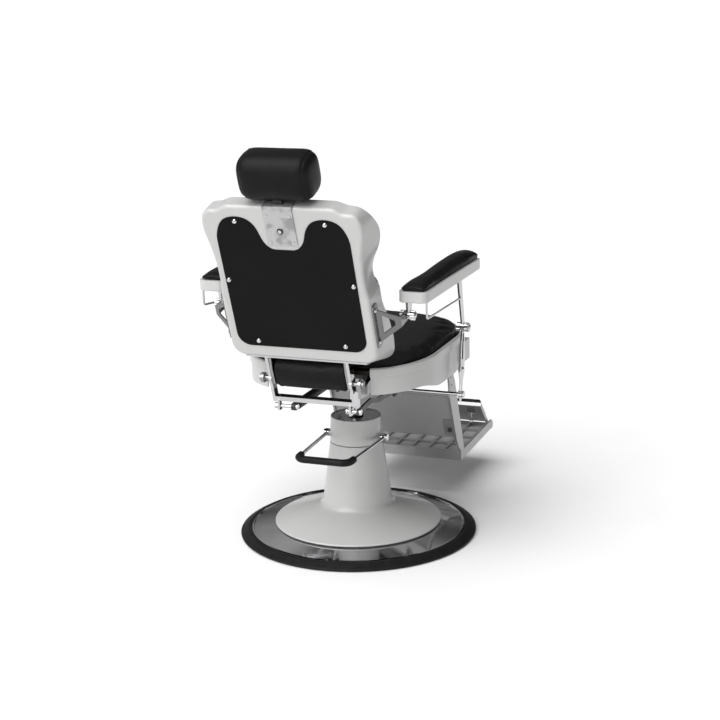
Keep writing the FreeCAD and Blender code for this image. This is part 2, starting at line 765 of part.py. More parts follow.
def build_seat_shell():
    """White band round the seat: an upper rim, a step and a skirt that is deepest along the sides."""
    inset = d.skirt_inset.value
    low, step, top = d.skirt_bottom.value, d.groove_level.value, d.rim_top.value
    deep = d.skirt_deep.value
    rim = seat_slab(0, step, top)
    rim = rim.makeFillet(4, rim_edges(rim, top))
    rim = rim.makeFillet(3, rim_edges(rim, step))
    skirt = seat_slab(inset, deep - 20, step + 1)
    hem = Part.BSplineCurve()
    hem.interpolate([vector(-300, 150, low), vector(-300, 100, low - 9), vector(-300, 40, deep + 3),
                     vector(-300, -20, deep), vector(-300, -110, deep), vector(-300, -165, deep + 8),
                     vector(-300, -210, low)])
    corners = [vector(-300, -210, low), vector(-300, -400, low), vector(-300, -400, deep - 40),
               vector(-300, 400, deep - 40), vector(-300, 400, low), vector(-300, 150, low)]
    edges = [hem.toShape()]
    for first, last in zip(corners, corners[1:]):
        edges.append(Part.LineSegment(first, last).toShape())
    skirt = skirt.cut(Part.Face(Part.Wire(edges)).extrude(vector(600, 0, 0)))
    hollow = seat_slab(inset + d.shell_wall.value, deep - 30, top + 1)
    notch = d.rear_notch.value
    opening = Part.makeBox(2 * notch, 200, 200, vector(-notch, 150, low - 20))
    band = rim.fuse(skirt).cut(hollow).cut(opening)
    outer = d.seat_lug_outer.value
    for side in (1, -1):
        lug = Part.makeBox(15, 70, 58, vector(outer - 15 if side > 0 else -outer, -221, low - 8))
        edges = [edge for edge in lug.Edges if edge.BoundBox.ZLength > 20 and abs(edge.BoundBox.Center.x) > outer - 1]
        band = band.fuse(lug.makeFillet(7, edges).cut(hollow))
    node(shape_of(band.removeSplitter()), "seat_shell")


def build_seat_board():
    wall = d.shell_wall.value + d.skirt_inset.value
    low = d.board_bottom.value
    board = seat_slab(wall, low, low + d.board_height.value)
    notch = d.rear_notch.value
    board = board.cut(Part.makeBox(2 * notch, 100, 100, vector(-notch, 264, low - 20)))
    node(shape_of(board), "seat_board")


def build_seat_cushion():
    """Leather seat cushion: the seat's plan, crowned like a shallow dome, with rolled edges."""
    low = d.board_bottom.value + d.board_height.value
    crown = d.cushion_crown.value
    inset = d.shell_wall.value + d.skirt_inset.value + 1
    slab = seat_slab(inset, low, low + 2 * crown)
    radius = d.crown_radius.value
    dome = Part.makeSphere(radius, vector(0, -d.crown_forward.value, low + crown - radius))
    cushion = slab.common(dome)
    brow = [edge for edge in cushion.Edges if edge.BoundBox.ZMin > low + 1]
    cushion = cushion.makeFillet(7, brow)
    foot = [edge for edge in cushion.Edges if edge.BoundBox.ZMax < low + NEAR]
    node(shape_of(cushion.makeFillet(3, foot)), "seat_cushion")


def build_shafts():
    half = d.pillar_offset + 11
    shaft = cylinder_x(d.pin_radius, -half, half, d.pillar_foot_y, d.pillar_foot_z)
    nut = cylinder_x(d.pin_radius + 4, d.pillar_offset + 6, half, d.pillar_foot_y, d.pillar_foot_z)
    other = cylinder_x(d.pin_radius + 4, -half, -d.pillar_offset - 6, d.pillar_foot_y, d.pillar_foot_z)
    node(fuse([shaft, nut, other]), "cross_shaft")
    reach = d.leg_half_width + 14
    node(cylinder_x(d.hinge_pin_radius, -reach, reach, d.leg_pivot_y, d.leg_pivot_z), "leg_shaft")


def build_hinge_lugs():
    """Rear lugs of the seat frame with the pins on which the back turns."""
    near, far = d.lug_offset, d.lug_offset + d.lug_width
    lugs = []
    for foot, x0 in ((508, near), (484, -far)):
        lug = [(hinge_y + 9, foot + 4), (hinge_y + 11, hinge_z), (hinge_y - 11, hinge_z), (hinge_y - 15, 510),
               (hinge_y - 50, 518), (hinge_y - 110, 534), (hinge_y - 110, 504), (hinge_y - 40, foot)]
        lugs.append(plate(lug, x0, d.lug_width))
    head = cylinder_x(14, near, far, hinge_y, hinge_z)
    pin = cylinder_x(d.hinge_pin_radius, d.arm_bar_offset + 0.5, far + 3, hinge_y, hinge_z)
    nut = cylinder_x(d.hinge_pin_radius + 3.5, far, far + 5, hinge_y, hinge_z)
    trunnion = fuse([head, pin, nut])
    node(group([fuse([lugs[0], trunnion]), fuse([lugs[1], mirrored(trunnion)])]), "hinge_lugs")


# Back, built in the back's own frame: X across, Z up the back, Y towards the rear face

REAR_SHOULDER = [(0, 140), (-4.5, 232), (-2, 262), (5, 300), (11, 336), (9, 360), (2, 377), (-13, 385), (-33, 386),
                 (-53, 396), (-70, 400)]
FRONT_SHOULDER = [(0, 140), (1, 230), (16.4, 262), (21.7, 297), (19.9, 332), (14.5, 356), (3.5, 370), (-14, 384),
                  (-33, 388), (-53, 396), (-70, 400)]
INSET_SHARES = [(1, 0), (1, 0), (1, 0), (1, 0), (1, 0.1), (0.95, 0.3), (0.75, 0.75), (0.3, 0.95), (0, 1), (0, 1),
                (0, 1)]
FLARE_DEPTH = 90


def back_outline(depth, inset=0, drop=0):
    """The back's outline at a depth: rounded foot, narrow waist, two shoulders that widen towards the front.

    Inset draws it in all round, and drop lowers its top.
    """
    half = d.back_half_width.value
    low = -d.back_bottom.value - d.back_flare.value * depth + inset
    flare = depth / FLARE_DEPTH
    side = []
    for rear, front, share in zip(REAR_SHOULDER, FRONT_SHOULDER, INSET_SHARES):
        x = half + rear[0] + (front[0] - rear[0]) * flare - inset * share[0]
        t = rear[1] + (front[1] - rear[1]) * flare - inset * share[1]
        lowered = drop * max(0, t - 325) / (d.back_top.value - 325)
        side.append((x, t - lowered))
    curve = Part.BSplineCurve()
    curve.interpolate([vector(x, -depth, t) for x, t in side])
    foot = 38 - 0.5 * inset
    corner = half - inset
    turn = foot * math.sqrt(0.5)
    edges = []
    for sign in (1, -1):
        centre = vector(sign * (corner - foot), -depth, low + foot)
        start = vector(centre.x, -depth, low)
        middle = centre + vector(sign * turn, 0, -turn)
        end = vector(sign * corner, -depth, low + foot)
        shoulder = curve.copy()
        if sign < 0:
            shoulder.transform(FreeCAD.Matrix(-1, 0, 0, 0, 0, 1, 0, 0, 0, 0, 1, 0, 0, 0, 0, 1))
        edges.append(Part.Arc(start, middle, end).toShape())
        edges.append(Part.LineSegment(end, vector(sign * corner, -depth, side[0][1])).toShape())
        edges.append(shoulder.toShape())
    last = vector(side[-1][0], -depth, side[-1][1])
    crest = vector(0, -depth, last.z + 1)
    edges.append(Part.Arc(last, crest, vector(-last.x, -depth, last.z)).toShape())
    base_end = corner - foot
    edges.append(Part.LineSegment(vector(-base_end, -depth, low), vector(base_end, -depth, low)).toShape())
    return Part.Wire(Part.sortEdges(edges)[0])


RIM_DEPTHS = [(-130, 95), (-104, 106), (-78, 115), (-58, 120), (-34, 122), (0, 115), (40, 105), (76, 89), (100, 84),
              (165, 83), (230, 83), (285, 88), (310, 86), (340, 72), (370, 56), (400, 46), (420, 42)]


def back_side_view():
    """Everything behind the front rim, as the rim is seen from the side."""
    curve = Part.BSplineCurve()
    curve.interpolate([vector(-300, -depth, t) for t, depth in RIM_DEPTHS])
    low, high = RIM_DEPTHS[0], RIM_DEPTHS[-1]
    corners = [vector(-300, -high[1], high[0]), vector(-300, 20, high[0]), vector(-300, 20, low[0]),
               vector(-300, -low[1], low[0])]
    edges = [curve.toShape()]
    for first, last in zip(corners, corners[1:]):
        edges.append(Part.LineSegment(first, last).toShape())
    return Part.Face(Part.Wire(edges)).extrude(vector(600, 0, 0))


def panel_outline(y, grow=0):
    """The dark rear panel: rounded foot and two lobes beside the headrest bracket."""
    half = d.panel_half_width.value + grow
    low = -d.panel_bottom.value - grow
    peak = d.panel_peak.value + grow
    notch = d.panel_notch.value + grow
    lobe = [(half, 300), (half - 5, 328), (half - 26, peak - 10), (half - 59, peak), (half - 96, peak - 10),
            (half - 114 - grow, peak - 34), (half - 126 - 2 * grow, peak - 68),
            (half - 141 - 2 * grow, notch + 5), (half - 158 - 2 * grow, notch)]
    curve = Part.BSplineCurve()
    curve.interpolate([vector(x, y, z) for x, z in lobe])
    foot = 36
    edges = []
    for sign in (1, -1):
        start = vector(sign * (half - foot), y, low)
        middle = vector(sign * (half - foot + foot * math.sin(math.pi / 4)), y,
                        low + foot - foot * math.cos(math.pi / 4))
        end = vector(sign * half, y, low + foot)
        edges.append(Part.Arc(start, middle, end).toShape())
        edges.append(Part.LineSegment(end, vector(sign * half, y, 300)).toShape())
        side = curve.copy()
        if sign < 0:
            side.transform(FreeCAD.Matrix(-1, 0, 0, 0, 0, 1, 0, 0, 0, 0, 1, 0, 0, 0, 0, 1))
        edges.append(side.toShape())
    inner = lobe[-1][0]
    edges.append(Part.LineSegment(vector(inner, y, notch), vector(-inner, y, notch)).toShape())
    edges.append(Part.LineSegment(vector(-(half - foot), y, low), vector(half - foot, y, low)).toShape())
    return Part.Wire(Part.sortEdges(edges)[0])


def in_back(shape, label):
    """Place a form that was drawn in the back's own frame."""
    return node(shape_of(shape, 0, back.y, back.z, back.angle), label)


def slab_of(wire, depth):
    """A slab from a wire, towards the front by depth."""
    return Part.Face(wire).extrude(vector(0, -depth, 0))


def block(x0, x1, depth0, depth1, t0, t1):
    """A block in the back's frame, between two depths in front of the rear face."""
    return Part.makeBox(x1 - x0, depth1 - depth0, t1 - t0, vector(x0, -depth1, t0))


def build_back_shell():
    """White moulded back: a flared tray with a soft rear edge and a shaped rim, recessed for the panel."""
    depth = d.back_shell_depth.value
    wall = d.back_wall.value
    shell = Part.makeLoft([back_outline(0), back_outline(depth)], True, True)
    rear_edges = [edge for edge in shell.Edges if edge.BoundBox.YMin > -0.01]
    shell = shell.makeFillet(9, rear_edges)
    shell = shell.common(back_side_view())
    hollow = Part.makeLoft([back_outline(wall, wall), back_outline(depth + 1, wall)], True, True)
    shell = shell.cut(hollow)
    recess = slab_of(panel_outline(5, 0.4), 8)
    shell = shell.cut(recess)
    shell = shell.cut(block(-14, 14, 7, 21, 300, 420))
    button_hole = Part.makeCylinder(5.4, 20, vector(0, 5, 335.5), vector(0, -1, 0))
    shell = shell.cut(button_hole)
    in_back(shell, "back_shell")


def build_back_inside():
    """Plywood board in the shell and the crowned cushion on it."""
    wall = d.back_wall.value
    board = slab_of(back_outline(24, wall + 2), 10)
    in_back(board, "back_board")
    front = d.back_cushion_depth.value
    layers = [(34, wall + 1.5, 8), (60, wall + 1, 12), (0.76 * front, wall + 2, 46), (0.86 * front, wall + 5, 54),
              (0.95 * front, wall + 14, 64), (front, wall + 30, 76)]
    wires = [back_outline(depth, inset, drop) for depth, inset, drop in layers]
    in_back(Part.makeLoft(wires, True, True), "back_cushion")


def build_back_panel():
    """Dark rear panel held by six screws."""
    panel = slab_of(panel_outline(2), 5)
    screws = []
    for x, t in ((121.5, 2), (171, 184), (121.5, 357)):
        for side in (1, -1):
            hole = Part.makeCylinder(2.5, 6, vector(side * x, 3, t), vector(0, -1, 0))
            panel = panel.cut(hole)
            shank = Part.makeCylinder(2.5, 5, vector(side * x, 2, t), vector(0, -1, 0))
            head = Part.makeCone(4.5, 6, 2.5, vector(side * x, 4.5, t), vector(0, -1, 0))
            screws.append(head.fuse(shank))
    in_back(panel, "back_panel")
    for x in (31, -31):
        for t in (303, 378):
            rivet = Part.makeCylinder(3.5, 1.8, vector(x, 4.8, t), vector(0, -1, 0))
            screws.append(rivet)
    half = d.back_half_width.value + BRACKET_SHEET
    for side in (1, -1):
        for t in (106, 12):
            screws.append(Part.makeCylinder(5, 3.5, vector(side * half, -17, t), vector(side, 0, 0)))
    in_back(Part.makeCompound(screws), "back_fasteners")


def build_headrest_bracket():
    """Chrome plate over the top edge of the back, slotted for the headrest bar."""
    top = d.back_top.value
    plate_part = Part.makeBox(80, 3, top + 4 - 294.5, vector(-40, 0, 294.5))
    corners = [edge for edge in plate_part.Edges if edge.BoundBox.YLength > 2 and edge.BoundBox.ZMax < 300]
    plate_part = plate_part.makeFillet(3, corners)
    lip = Part.makeBox(80, 36, 3, vector(-40, -33, top + 1))
    bracket = plate_part.fuse(lip)
    bracket = bracket.cut(block(-13.5, 13.5, 8.5, 19.5, top - 10, top + 10))
    bezel = Part.makeCylinder(8.5, 2.5, vector(0, 5.5, 335.5), vector(0, -1, 0))
    bracket = bracket.fuse(bezel)
    bracket = bracket.cut(Part.makeCylinder(5.05, 12, vector(0, 8, 335.5), vector(0, -1, 0)))
    in_back(bracket.removeSplitter(), "headrest_bracket")
    in_back(Part.makeCylinder(5, 11.5, vector(0, 8, 335.5), vector(0, -1, 0)), "headrest_button")


def build_headrest():
    """Toothed bar and the leather pillow on it, a block with large soft corners."""
    bar = block(-12, 12, 10, 18, 320, 460)
    for i in range(6):
        t = 345 + 10 * i
        for side in (1, -1):
            tooth = Part.makeBox(3, 12, 4, vector(side * 12 - 1.5, -20, t))
            bar = bar.cut(tooth)
    in_back(bar, "headrest_bar")
    half = d.headrest_half_length.value
    high = d.headrest_height.value
    thick = d.headrest_thickness.value
    low = d.headrest_centre.value - high / 2
    pillow = Part.makeBox(2 * half, thick, high, vector(-half, d.headrest_overhang.value - thick, low))
    long_edges = [edge for edge in pillow.Edges if edge.BoundBox.XLength > half]
    pillow = pillow.makeFillet(0.32 * high, long_edges)
    end_edges = [edge for edge in pillow.Edges if edge.BoundBox.XLength < NEAR]
    pillow = pillow.makeFillet(0.24 * high, end_edges)
    pillow = pillow.cut(block(-12, 12, 10, 18, 300, 460))
    in_back(pillow, "headrest_pillow")


def build_back_arms():
    """Flat bars that carry the back down to its hinge and to the crossbar."""
    foot = -d.crossbar_drop - 9
    under = -d.back_bottom - d.trim_sheet
    points = [(-24, foot), (-3, foot), (-3, under - 3 * d.back_flare), (-27, under - 27 * d.back_flare)]
    bar = eye_bar(points, d.arm_bar_offset, d.arm_bar_width,
                  [(-d.hinge_depth, -d.hinge_drop, 15, d.hinge_pin_radius + d.turning_gap)], back)
    node(group([bar, mirrored(bar)]), "back_arms")
    low, flare, sheet_gauge = -d.back_bottom.value, d.back_flare.value, d.trim_sheet.value
    deep = d.trim_depth.value
    side = [(-2, low - 2 * flare), (-deep, low - deep * flare), (-deep, low - deep * flare - sheet_gauge),
            (-2, low - 2 * flare - sheet_gauge)]
    wire = Part.makePolygon([vector(-170, y, z) for y, z in side + side[:1]])
    in_back(Part.Face(wire).extrude(vector(340, 0, 0)), "back_trim")


def build_crossbar():
    """Square crossbar between the back arms, with a hanging bracket at each end."""
    half = d.crossbar_size / 2
    reach = d.arm_bar_offset
    bar = box(-reach, reach, -d.crossbar_depth - half, -d.crossbar_depth + half,
              -d.crossbar_drop - half, -d.crossbar_drop + half, back)
    brackets = []
    for x0 in (99, -105):
        points = [(cross_pin_y - 8, cross_pin_z - 11), (cross_pin_y + 8, cross_pin_z - 11),
                  (cross_pin_y + 9, cross_pin_z + 19), (cross_pin_y - 5, cross_pin_z + 19)]
        brackets.append(plate(points, x0, 6))
    whole = fuse([bar] + brackets)
    node(cut(whole, cylinder_x(d.pin_radius, -120, 120, cross_pin_y, cross_pin_z)), "crossbar")
    lock_pin = fuse([cylinder_x(d.pin_radius, d.lock_offset - 8, 112, cross_pin_y, cross_pin_z),
                     cylinder_x(d.pin_radius + 3, 105, 115, cross_pin_y, cross_pin_z),
                     cylinder_x(d.pin_radius + 3, d.lock_offset - 11, d.lock_offset - 7, cross_pin_y, cross_pin_z)])
    link_pin = fuse([cylinder_x(d.pin_radius, -128, -90, cross_pin_y, cross_pin_z),
                     cylinder_x(d.pin_radius + 3, -131, -127, cross_pin_y, cross_pin_z),
                     cylinder_x(d.pin_radius + 3, -94, -90, cross_pin_y, cross_pin_z)])
    node(group([lock_pin, link_pin]), "crossbar_pins")


def build_roll():
    """Leather roll between the back arms and its two end plates."""
    half = d.roll_half_length.value
    roll = Part.makeBox(2 * half, 50, 74, vector(-half, -55, -146))
    roll = roll.makeFillet(23, [edge for edge in roll.Edges if edge.BoundBox.XLength > 20])
    roll = roll.makeFillet(5, [edge for edge in roll.Edges if edge.BoundBox.XLength < NEAR])
    in_back(roll, "back_roll")
    plate_width = d.arm_bar_offset - half
    under = -d.back_bottom - d.trim_sheet - 1
    outline = [(-48, -134), (-20, -148), (-6, -138), (-4, -88), (-8, under - 8 * d.back_flare),
               (-30, under - 30 * d.back_flare), (-48, under - 48 * d.back_flare)]
    body = plate(outline, d.roll_half_length, plate_width, back)
    node(group([body, mirrored(body)]), "roll_plates")


def build_arm_brackets():
    """Side brackets of the back: a bolted plate, a slanted web with a window, and the ear for the arm."""
    offset_y = (rear_arm_y - back.y).value
    offset_z = (rear_arm_z - back.z).value
    tilt = math.radians(d.back_tilt.value)
    t = offset_y * math.sin(tilt) + offset_z * math.cos(tilt)
    depth = offset_z * math.sin(tilt) - offset_y * math.cos(tilt)
    wall_x = d.back_half_width.value
    ear_x = 255.5
    sheet_gauge = BRACKET_SHEET
    base = Part.makeBox(sheet_gauge, 32, 124, vector(wall_x, -40, -6))
    base = base.makeFillet(8, [edge for edge in base.Edges if edge.BoundBox.XLength > 1])
    root = vector(wall_x + 2, -26, 0)
    run = vector(ear_x + 3, -58, 0) - root
    normal = vector(-run.y, run.x).normalize() * sheet_gauge

    def slanted(points, lift, gauge):
        """A flat piece in the web's plane; points are (share of the run, t)."""
        corners = [root + run * share + vector(0, 0, height) + normal * lift for share, height in points]
        return Part.Face(Part.makePolygon(corners + corners[:1])).extrude(normal * gauge)

    web = slanted([(0, 104), (0, 6), (1, t - 6), (1, t + 23)], 0, 1)
    window = slanted([(0.22, 84), (0.22, 30), (0.74, t + 3), (0.74, t + 16)], -0.5, 2)
    arm = [vector(ear_x, -54, t + 23), vector(ear_x, -54, t - 6), vector(ear_x, -depth, t - 13),
           vector(ear_x, -depth, t + 13)]
    ear = Part.Face(Part.makePolygon(arm + arm[:1])).extrude(vector(5, 0, 0))
    ear = ear.fuse(Part.makeCylinder(13, 5, vector(ear_x, -depth, t), X_AXIS))
    bracket = base.fuse(web.cut(window)).fuse(ear)
    bracket = bracket.cut(Part.makeCylinder(4.5, 20, vector(ear_x - 8, -depth, t), X_AXIS))
    bracket = bracket.removeSplitter()
    other = bracket.mirror(vector(0, 0, 0), X_AXIS)
    in_back(Part.makeCompound([bracket, other]), "arm_brackets")


def knob(x0, x1, y, z):
    """A fluted chrome knob on an axis along X, as a plain shape."""
    radius = d.knob_radius.value
    shape = Part.makeCylinder(radius, x1 - x0, vector(x0, y, z), X_AXIS)
    for i in range(6):
        angle = math.radians(60 * i)
        flute_y = y + (radius + 1.5) * math.cos(angle)
        flute_z = z + (radius + 1.5) * math.sin(angle)
        shape = shape.cut(Part.makeCylinder(4, x1 - x0 + 2, vector(x0 - 1, flute_y, flute_z), X_AXIS))
    return shape


def build_rear_pins():
    """Pins with knobs that hold the arms to the brackets of the back."""
    pins = []
    for side in (1, -1):
        spans = ((243, 254), (270, 281))
        shape = Part.makeCylinder(4.5, 42, vector(241 if side > 0 else -283, 0, 0), X_AXIS)
        for low, high in spans:
            start, end = (low, high) if side > 0 else (-high, -low)
            shape = shape.fuse(knob(start, end, 0, 0))
        pins.append(shape)
    node(shape_of(Part.makeCompound(pins), 0, rear_arm_y, rear_arm_z), "rear_pins")


# Arms and their pillars

def cone_between(start, end, radius, end_radius):
    """A tapered round bar between two points."""
    run = end - start
    return Part.makeCone(radius, end_radius, run.Length, start, run)


def disc_x(radius, x0, x1, y, z):
    """A plain disc or bore along X between two planes."""
    return Part.makeCylinder(radius, x1 - x0, vector(x0, y, z), X_AXIS)


def build_arm(side, label):
    """One arm: enamelled base, leather pad, and the chrome posts and rail under it."""
    sign = 1 if side > 0 else -1
    x0, x1 = (d.arm_inner.value, d.arm_outer.value) if sign > 0 else (-d.arm_outer.value, -d.arm_inner.value)
    length = d.arm_rear.value + d.arm_front.value
    low = d.arm_bottom.value
    base = Part.makeBox(x1 - x0, length, d.arm_height.value, vector(x0, -d.arm_front.value, low))
    base = base.makeFillet(22, [edge for edge in base.Edges if edge.BoundBox.ZLength > 20])
    base = base.makeFillet(4, [edge for edge in base.Edges if edge.BoundBox.ZMax < low + 0.01])
    node(shape_of(base), f"arm_base_{label}")
    middle = (x0 + x1) / 2
    wide = (x1 - x0) / 2 - 3
    seat = low + d.arm_height.value
    full = d.arm_pad_height.value
    rear, front = d.arm_rear.value - 3, -d.arm_front.value + 3
    sections = [(rear, 0.66, 0.4), (rear - 5, 0.9, 0.55), (rear - 20, 0.99, 0.68), (200, 1, 0.8), (80, 1, 0.93),
                (-40, 1, 1.0), (-105, 1, 0.98), (front + 24, 1, 0.92), (front + 6, 0.94, 0.8), (front, 0.76, 0.6)]
    wires = [pad_section(middle, y, wide * share, seat, full * height) for y, share, height in sections]
    node(shape_of(Part.makeLoft(wires, True, False)), f"arm_pad_{label}")
    front_y, front_z = front_arm_y.value, front_arm_z.value
    offset = d.pillar_offset.value
    post_top = vector(d.post_top_offset.value, front_y + 11, low)
    post_foot = vector(offset, front_y, front_z)
    above = Part.makeBox(200, 800, 50, vector(200, -300, low))
    front_post = cone_between(post_foot, post_top + (post_top - post_foot) * 0.03, 5.6, 8)
    front_post = front_post.fuse(disc_x(10, offset - 5.3, offset, front_y, front_z))
    front_post = front_post.cut(disc_x(11, offset, offset + 12, front_y, front_z))
    front_post = front_post.cut(disc_x(4.8, 200, 320, front_y, front_z))
    share = (d.rail_end_z.value - front_z) / (low - front_z)
    rail_end = post_foot + (post_top - post_foot) * share
    corner = vector(d.rail_offset_x.value, d.rail_corner_y.value, d.rail_corner_z.value)
    rail = pipe([vector(corner.x, corner.y, low), corner, rail_end], 3, 8)
    front_post = front_post.fuse(rail).cut(above)
    rear_y, rear_z = rear_arm_y.value, rear_arm_z.value
    rear_post = cone_between(vector(265, rear_y, rear_z), vector(265, rear_y + 1, low + 2), 7, 9)
    rear_post = rear_post.fuse(disc_x(11, 261.3, 269.5, rear_y, rear_z))
    rear_post = rear_post.cut(disc_x(15, 255.5, 261.3, rear_y, rear_z)).cut(disc_x(15, 269.5, 283, rear_y, rear_z))
    rear_post = rear_post.cut(disc_x(4.55, 200, 320, rear_y, rear_z)).cut(above)
    posts = Part.makeCompound([front_post, rear_post])
    if sign < 0:
        posts = posts.mirror(vector(0, 0, 0), X_AXIS)
    node(shape_of(posts), f"arm_posts_{label}")


def pad_section(middle, y, half, seat, height):
    """A cushion section across an arm: flat foot, short sides, round top."""
    foot = half - 1.5
    shoulder = seat + 0.55 * height
    top = Part.Arc(vector(middle + half, y, shoulder), vector(middle, y, seat + height),
                   vector(middle - half, y, shoulder))
    corners = [vector(middle - half, y, shoulder), vector(middle - foot, y, seat), vector(middle + foot, y, seat),
               vector(middle + half, y, shoulder)]
    edges = [top.toShape()]
    for first, last in zip(corners, corners[1:]):
        edges.append(Part.LineSegment(first, last).toShape())
    return Part.Wire(edges)


def build_pillar(side, label):
    """Turned pillar from the cross shaft up to the arm, with its top pin and knobs."""
    sign = 1 if side > 0 else -1
    profile = [(0, 6), (4.8, 6), (4.8, 26), (5.4, 40), (7.8, 58), (9, 66), (9, 72), (8.2, 78),
               (8.4, 100), (6.8, 150), (5.2, 172), (5.2, 180), (0, 180)]
    body = turned(profile)
    angle = math.degrees(math.atan2(-d.arm_link_y.value, d.arm_link_z.value))
    place(body, sign * d.pillar_offset, d.pillar_foot_y, d.pillar_foot_z, angle)
    body.setExpression("Placement.Rotation.Angle", f"atan2(0 - {d.arm_link_y.text}; {d.arm_link_z.text})")
    foot_x = d.pillar_offset - 5.5 if sign > 0 else -d.pillar_offset - 5.5
    foot = cylinder_x(10, foot_x, foot_x + 11, d.pillar_foot_y, d.pillar_foot_z)
    tip = rod(4, sign * d.pillar_offset, (d.pillar_foot_y, d.pillar_foot_z),
              (d.pillar_foot_y + 4, d.pillar_foot_z - 22), 3)
    head_x = d.pillar_offset + 0.3 if sign > 0 else -d.pillar_offset - 5.6
    head = cylinder_x(10, head_x, head_x + 5.3, front_arm_y, front_arm_z)
    gap_x = d.pillar_offset - 12 if sign > 0 else -d.pillar_offset - 0.3
    gap = cylinder_x(11, gap_x, gap_x + 12.3, front_arm_y, front_arm_z)
    shaft_bore = cylinder_x(d.pin_radius + d.turning_gap, -320, 320, d.pillar_foot_y, d.pillar_foot_z)
    pillar = cut(cut(fuse([body, foot, head, tip]), gap), shaft_bore)
    pillar = cut(pillar, cylinder_x(4.5, -320, 320, front_arm_y, front_arm_z))
    inner_end, outer_end = d.pillar_offset.value - 16.5, d.pillar_offset.value + 19
    spans = ((inner_end, inner_end + 10), (outer_end - 12, outer_end))
    start = inner_end if sign > 0 else -outer_end
    shape = Part.makeCylinder(4.5, outer_end - inner_end, vector(start, 0, 0), X_AXIS)
    for low, high in spans:
        start, end = (low, high) if sign > 0 else (-high, -low)
        shape = shape.fuse(knob(start, end, 0, 0))
    pin = shape_of(shape, 0, front_arm_y, front_arm_z)
    node(group([pillar, pin]), f"pillar_{label}")


# Leg rest and footrest

def build_leg_frame():
    """Welded leg frame: deep side plates, torque tube, top rod and the crank of the leg link."""
    outer = d.leg_half_width
    inner = outer - d.leg_plate
    rail_top = d.footrest_height
    points = [(-9, 4), (11, 6), (24, -60), (34, -120), (46, -150), (38, -d.leg_panel_bottom), (30, -345)]
    points = [leg.point(y, z) for y, z in points]
    points += [footrest.point(0, rail_top + 4), footrest.point(0, rail_top), footrest.point(-31, rail_top)]
    points += [leg.point(y, z) for y, z in ((-15, -370), (-15, -130), (-6, -80), (0, -40))]
    parts = []
    for x0 in (inner, -outer):
        parts.append(plate(points, x0, d.leg_plate))
        parts.append(cylinder_x(14, x0, x0 + d.leg_plate, 0, 0, leg))
    parts.append(cylinder_x(11, -inner, inner, 0, 0, leg))
    parts.append(cylinder_x(5, -inner, inner, 36, -148, leg))
    crank = [(d.leg_pivot_y - 10, d.leg_pivot_z), (d.leg_pivot_y + 10, d.leg_pivot_z),
             (leg_pin_y + 9, leg_pin_z), (leg_pin_y - 9, leg_pin_z)]
    parts.append(plate(crank, -134, 6))
    parts.append(cylinder_x(9, -134, -128, leg_pin_y, leg_pin_z))
    parts.append(cylinder_x(d.pin_radius, -130, -117, leg_pin_y, leg_pin_z))
    frame = fuse(parts)
    bore = cylinder_x(d.hinge_pin_radius + d.turning_gap, -outer - 1, outer + 1, 0, 0, leg)
    node(cut(frame, bore), "leg_frame")
    panel = box(-inner, inner, 34, 37, -d.leg_panel_bottom, -d.leg_panel_top - 1, leg)
    node(panel, "leg_panel")


def build_footrest():
    """Footrest: side rails, rear flange, slotted tread and the rod on which the flap turns."""
    outer = d.leg_half_width
    inner = outer - d.leg_plate
    high = d.footrest_height
    end = -d.footrest_length
    drop = -d.footrest_rear_drop
    rail = [footrest.point(y, z) for y, z in ((end, 0), (0, drop), (0, high), (end, high))]
    parts = [box(-inner, inner, -4, 0, drop, high + 4, footrest)]
    for x0 in (inner, -outer):
        parts.append(plate(rail, x0, d.leg_plate))
        parts.append(cylinder_x(13, x0, x0 + d.leg_plate, 3 - d.footrest_length, FLAP_PIVOT_RISE, footrest))
    parts.append(cylinder_x(d.pin_radius, -inner, inner, 3 - d.footrest_length, FLAP_PIVOT_RISE, footrest))
    parts.append(box(-inner, inner, -24, -18, drop + 6, high - 6, footrest))
    node(fuse(parts), "footrest_frame")
    tread = box(-inner, inner, end + 38, -4, high - 6, high, footrest)
    slots = []
    columns, rows = 7, 4
    pitch_x = 2 * inner / columns
    pitch_y = (d.footrest_length - 46) / rows
    for column in range(columns):
        for row_number in range(rows):
            x0 = -inner + pitch_x * column + 5
            y1 = -9 - pitch_y * row_number
            slots.append(box(x0, x0 + pitch_x - 10, y1 - pitch_y + 10, y1, high - 8, high + 2, footrest))
    node(cut(tread, group(slots)), "footrest_tread")


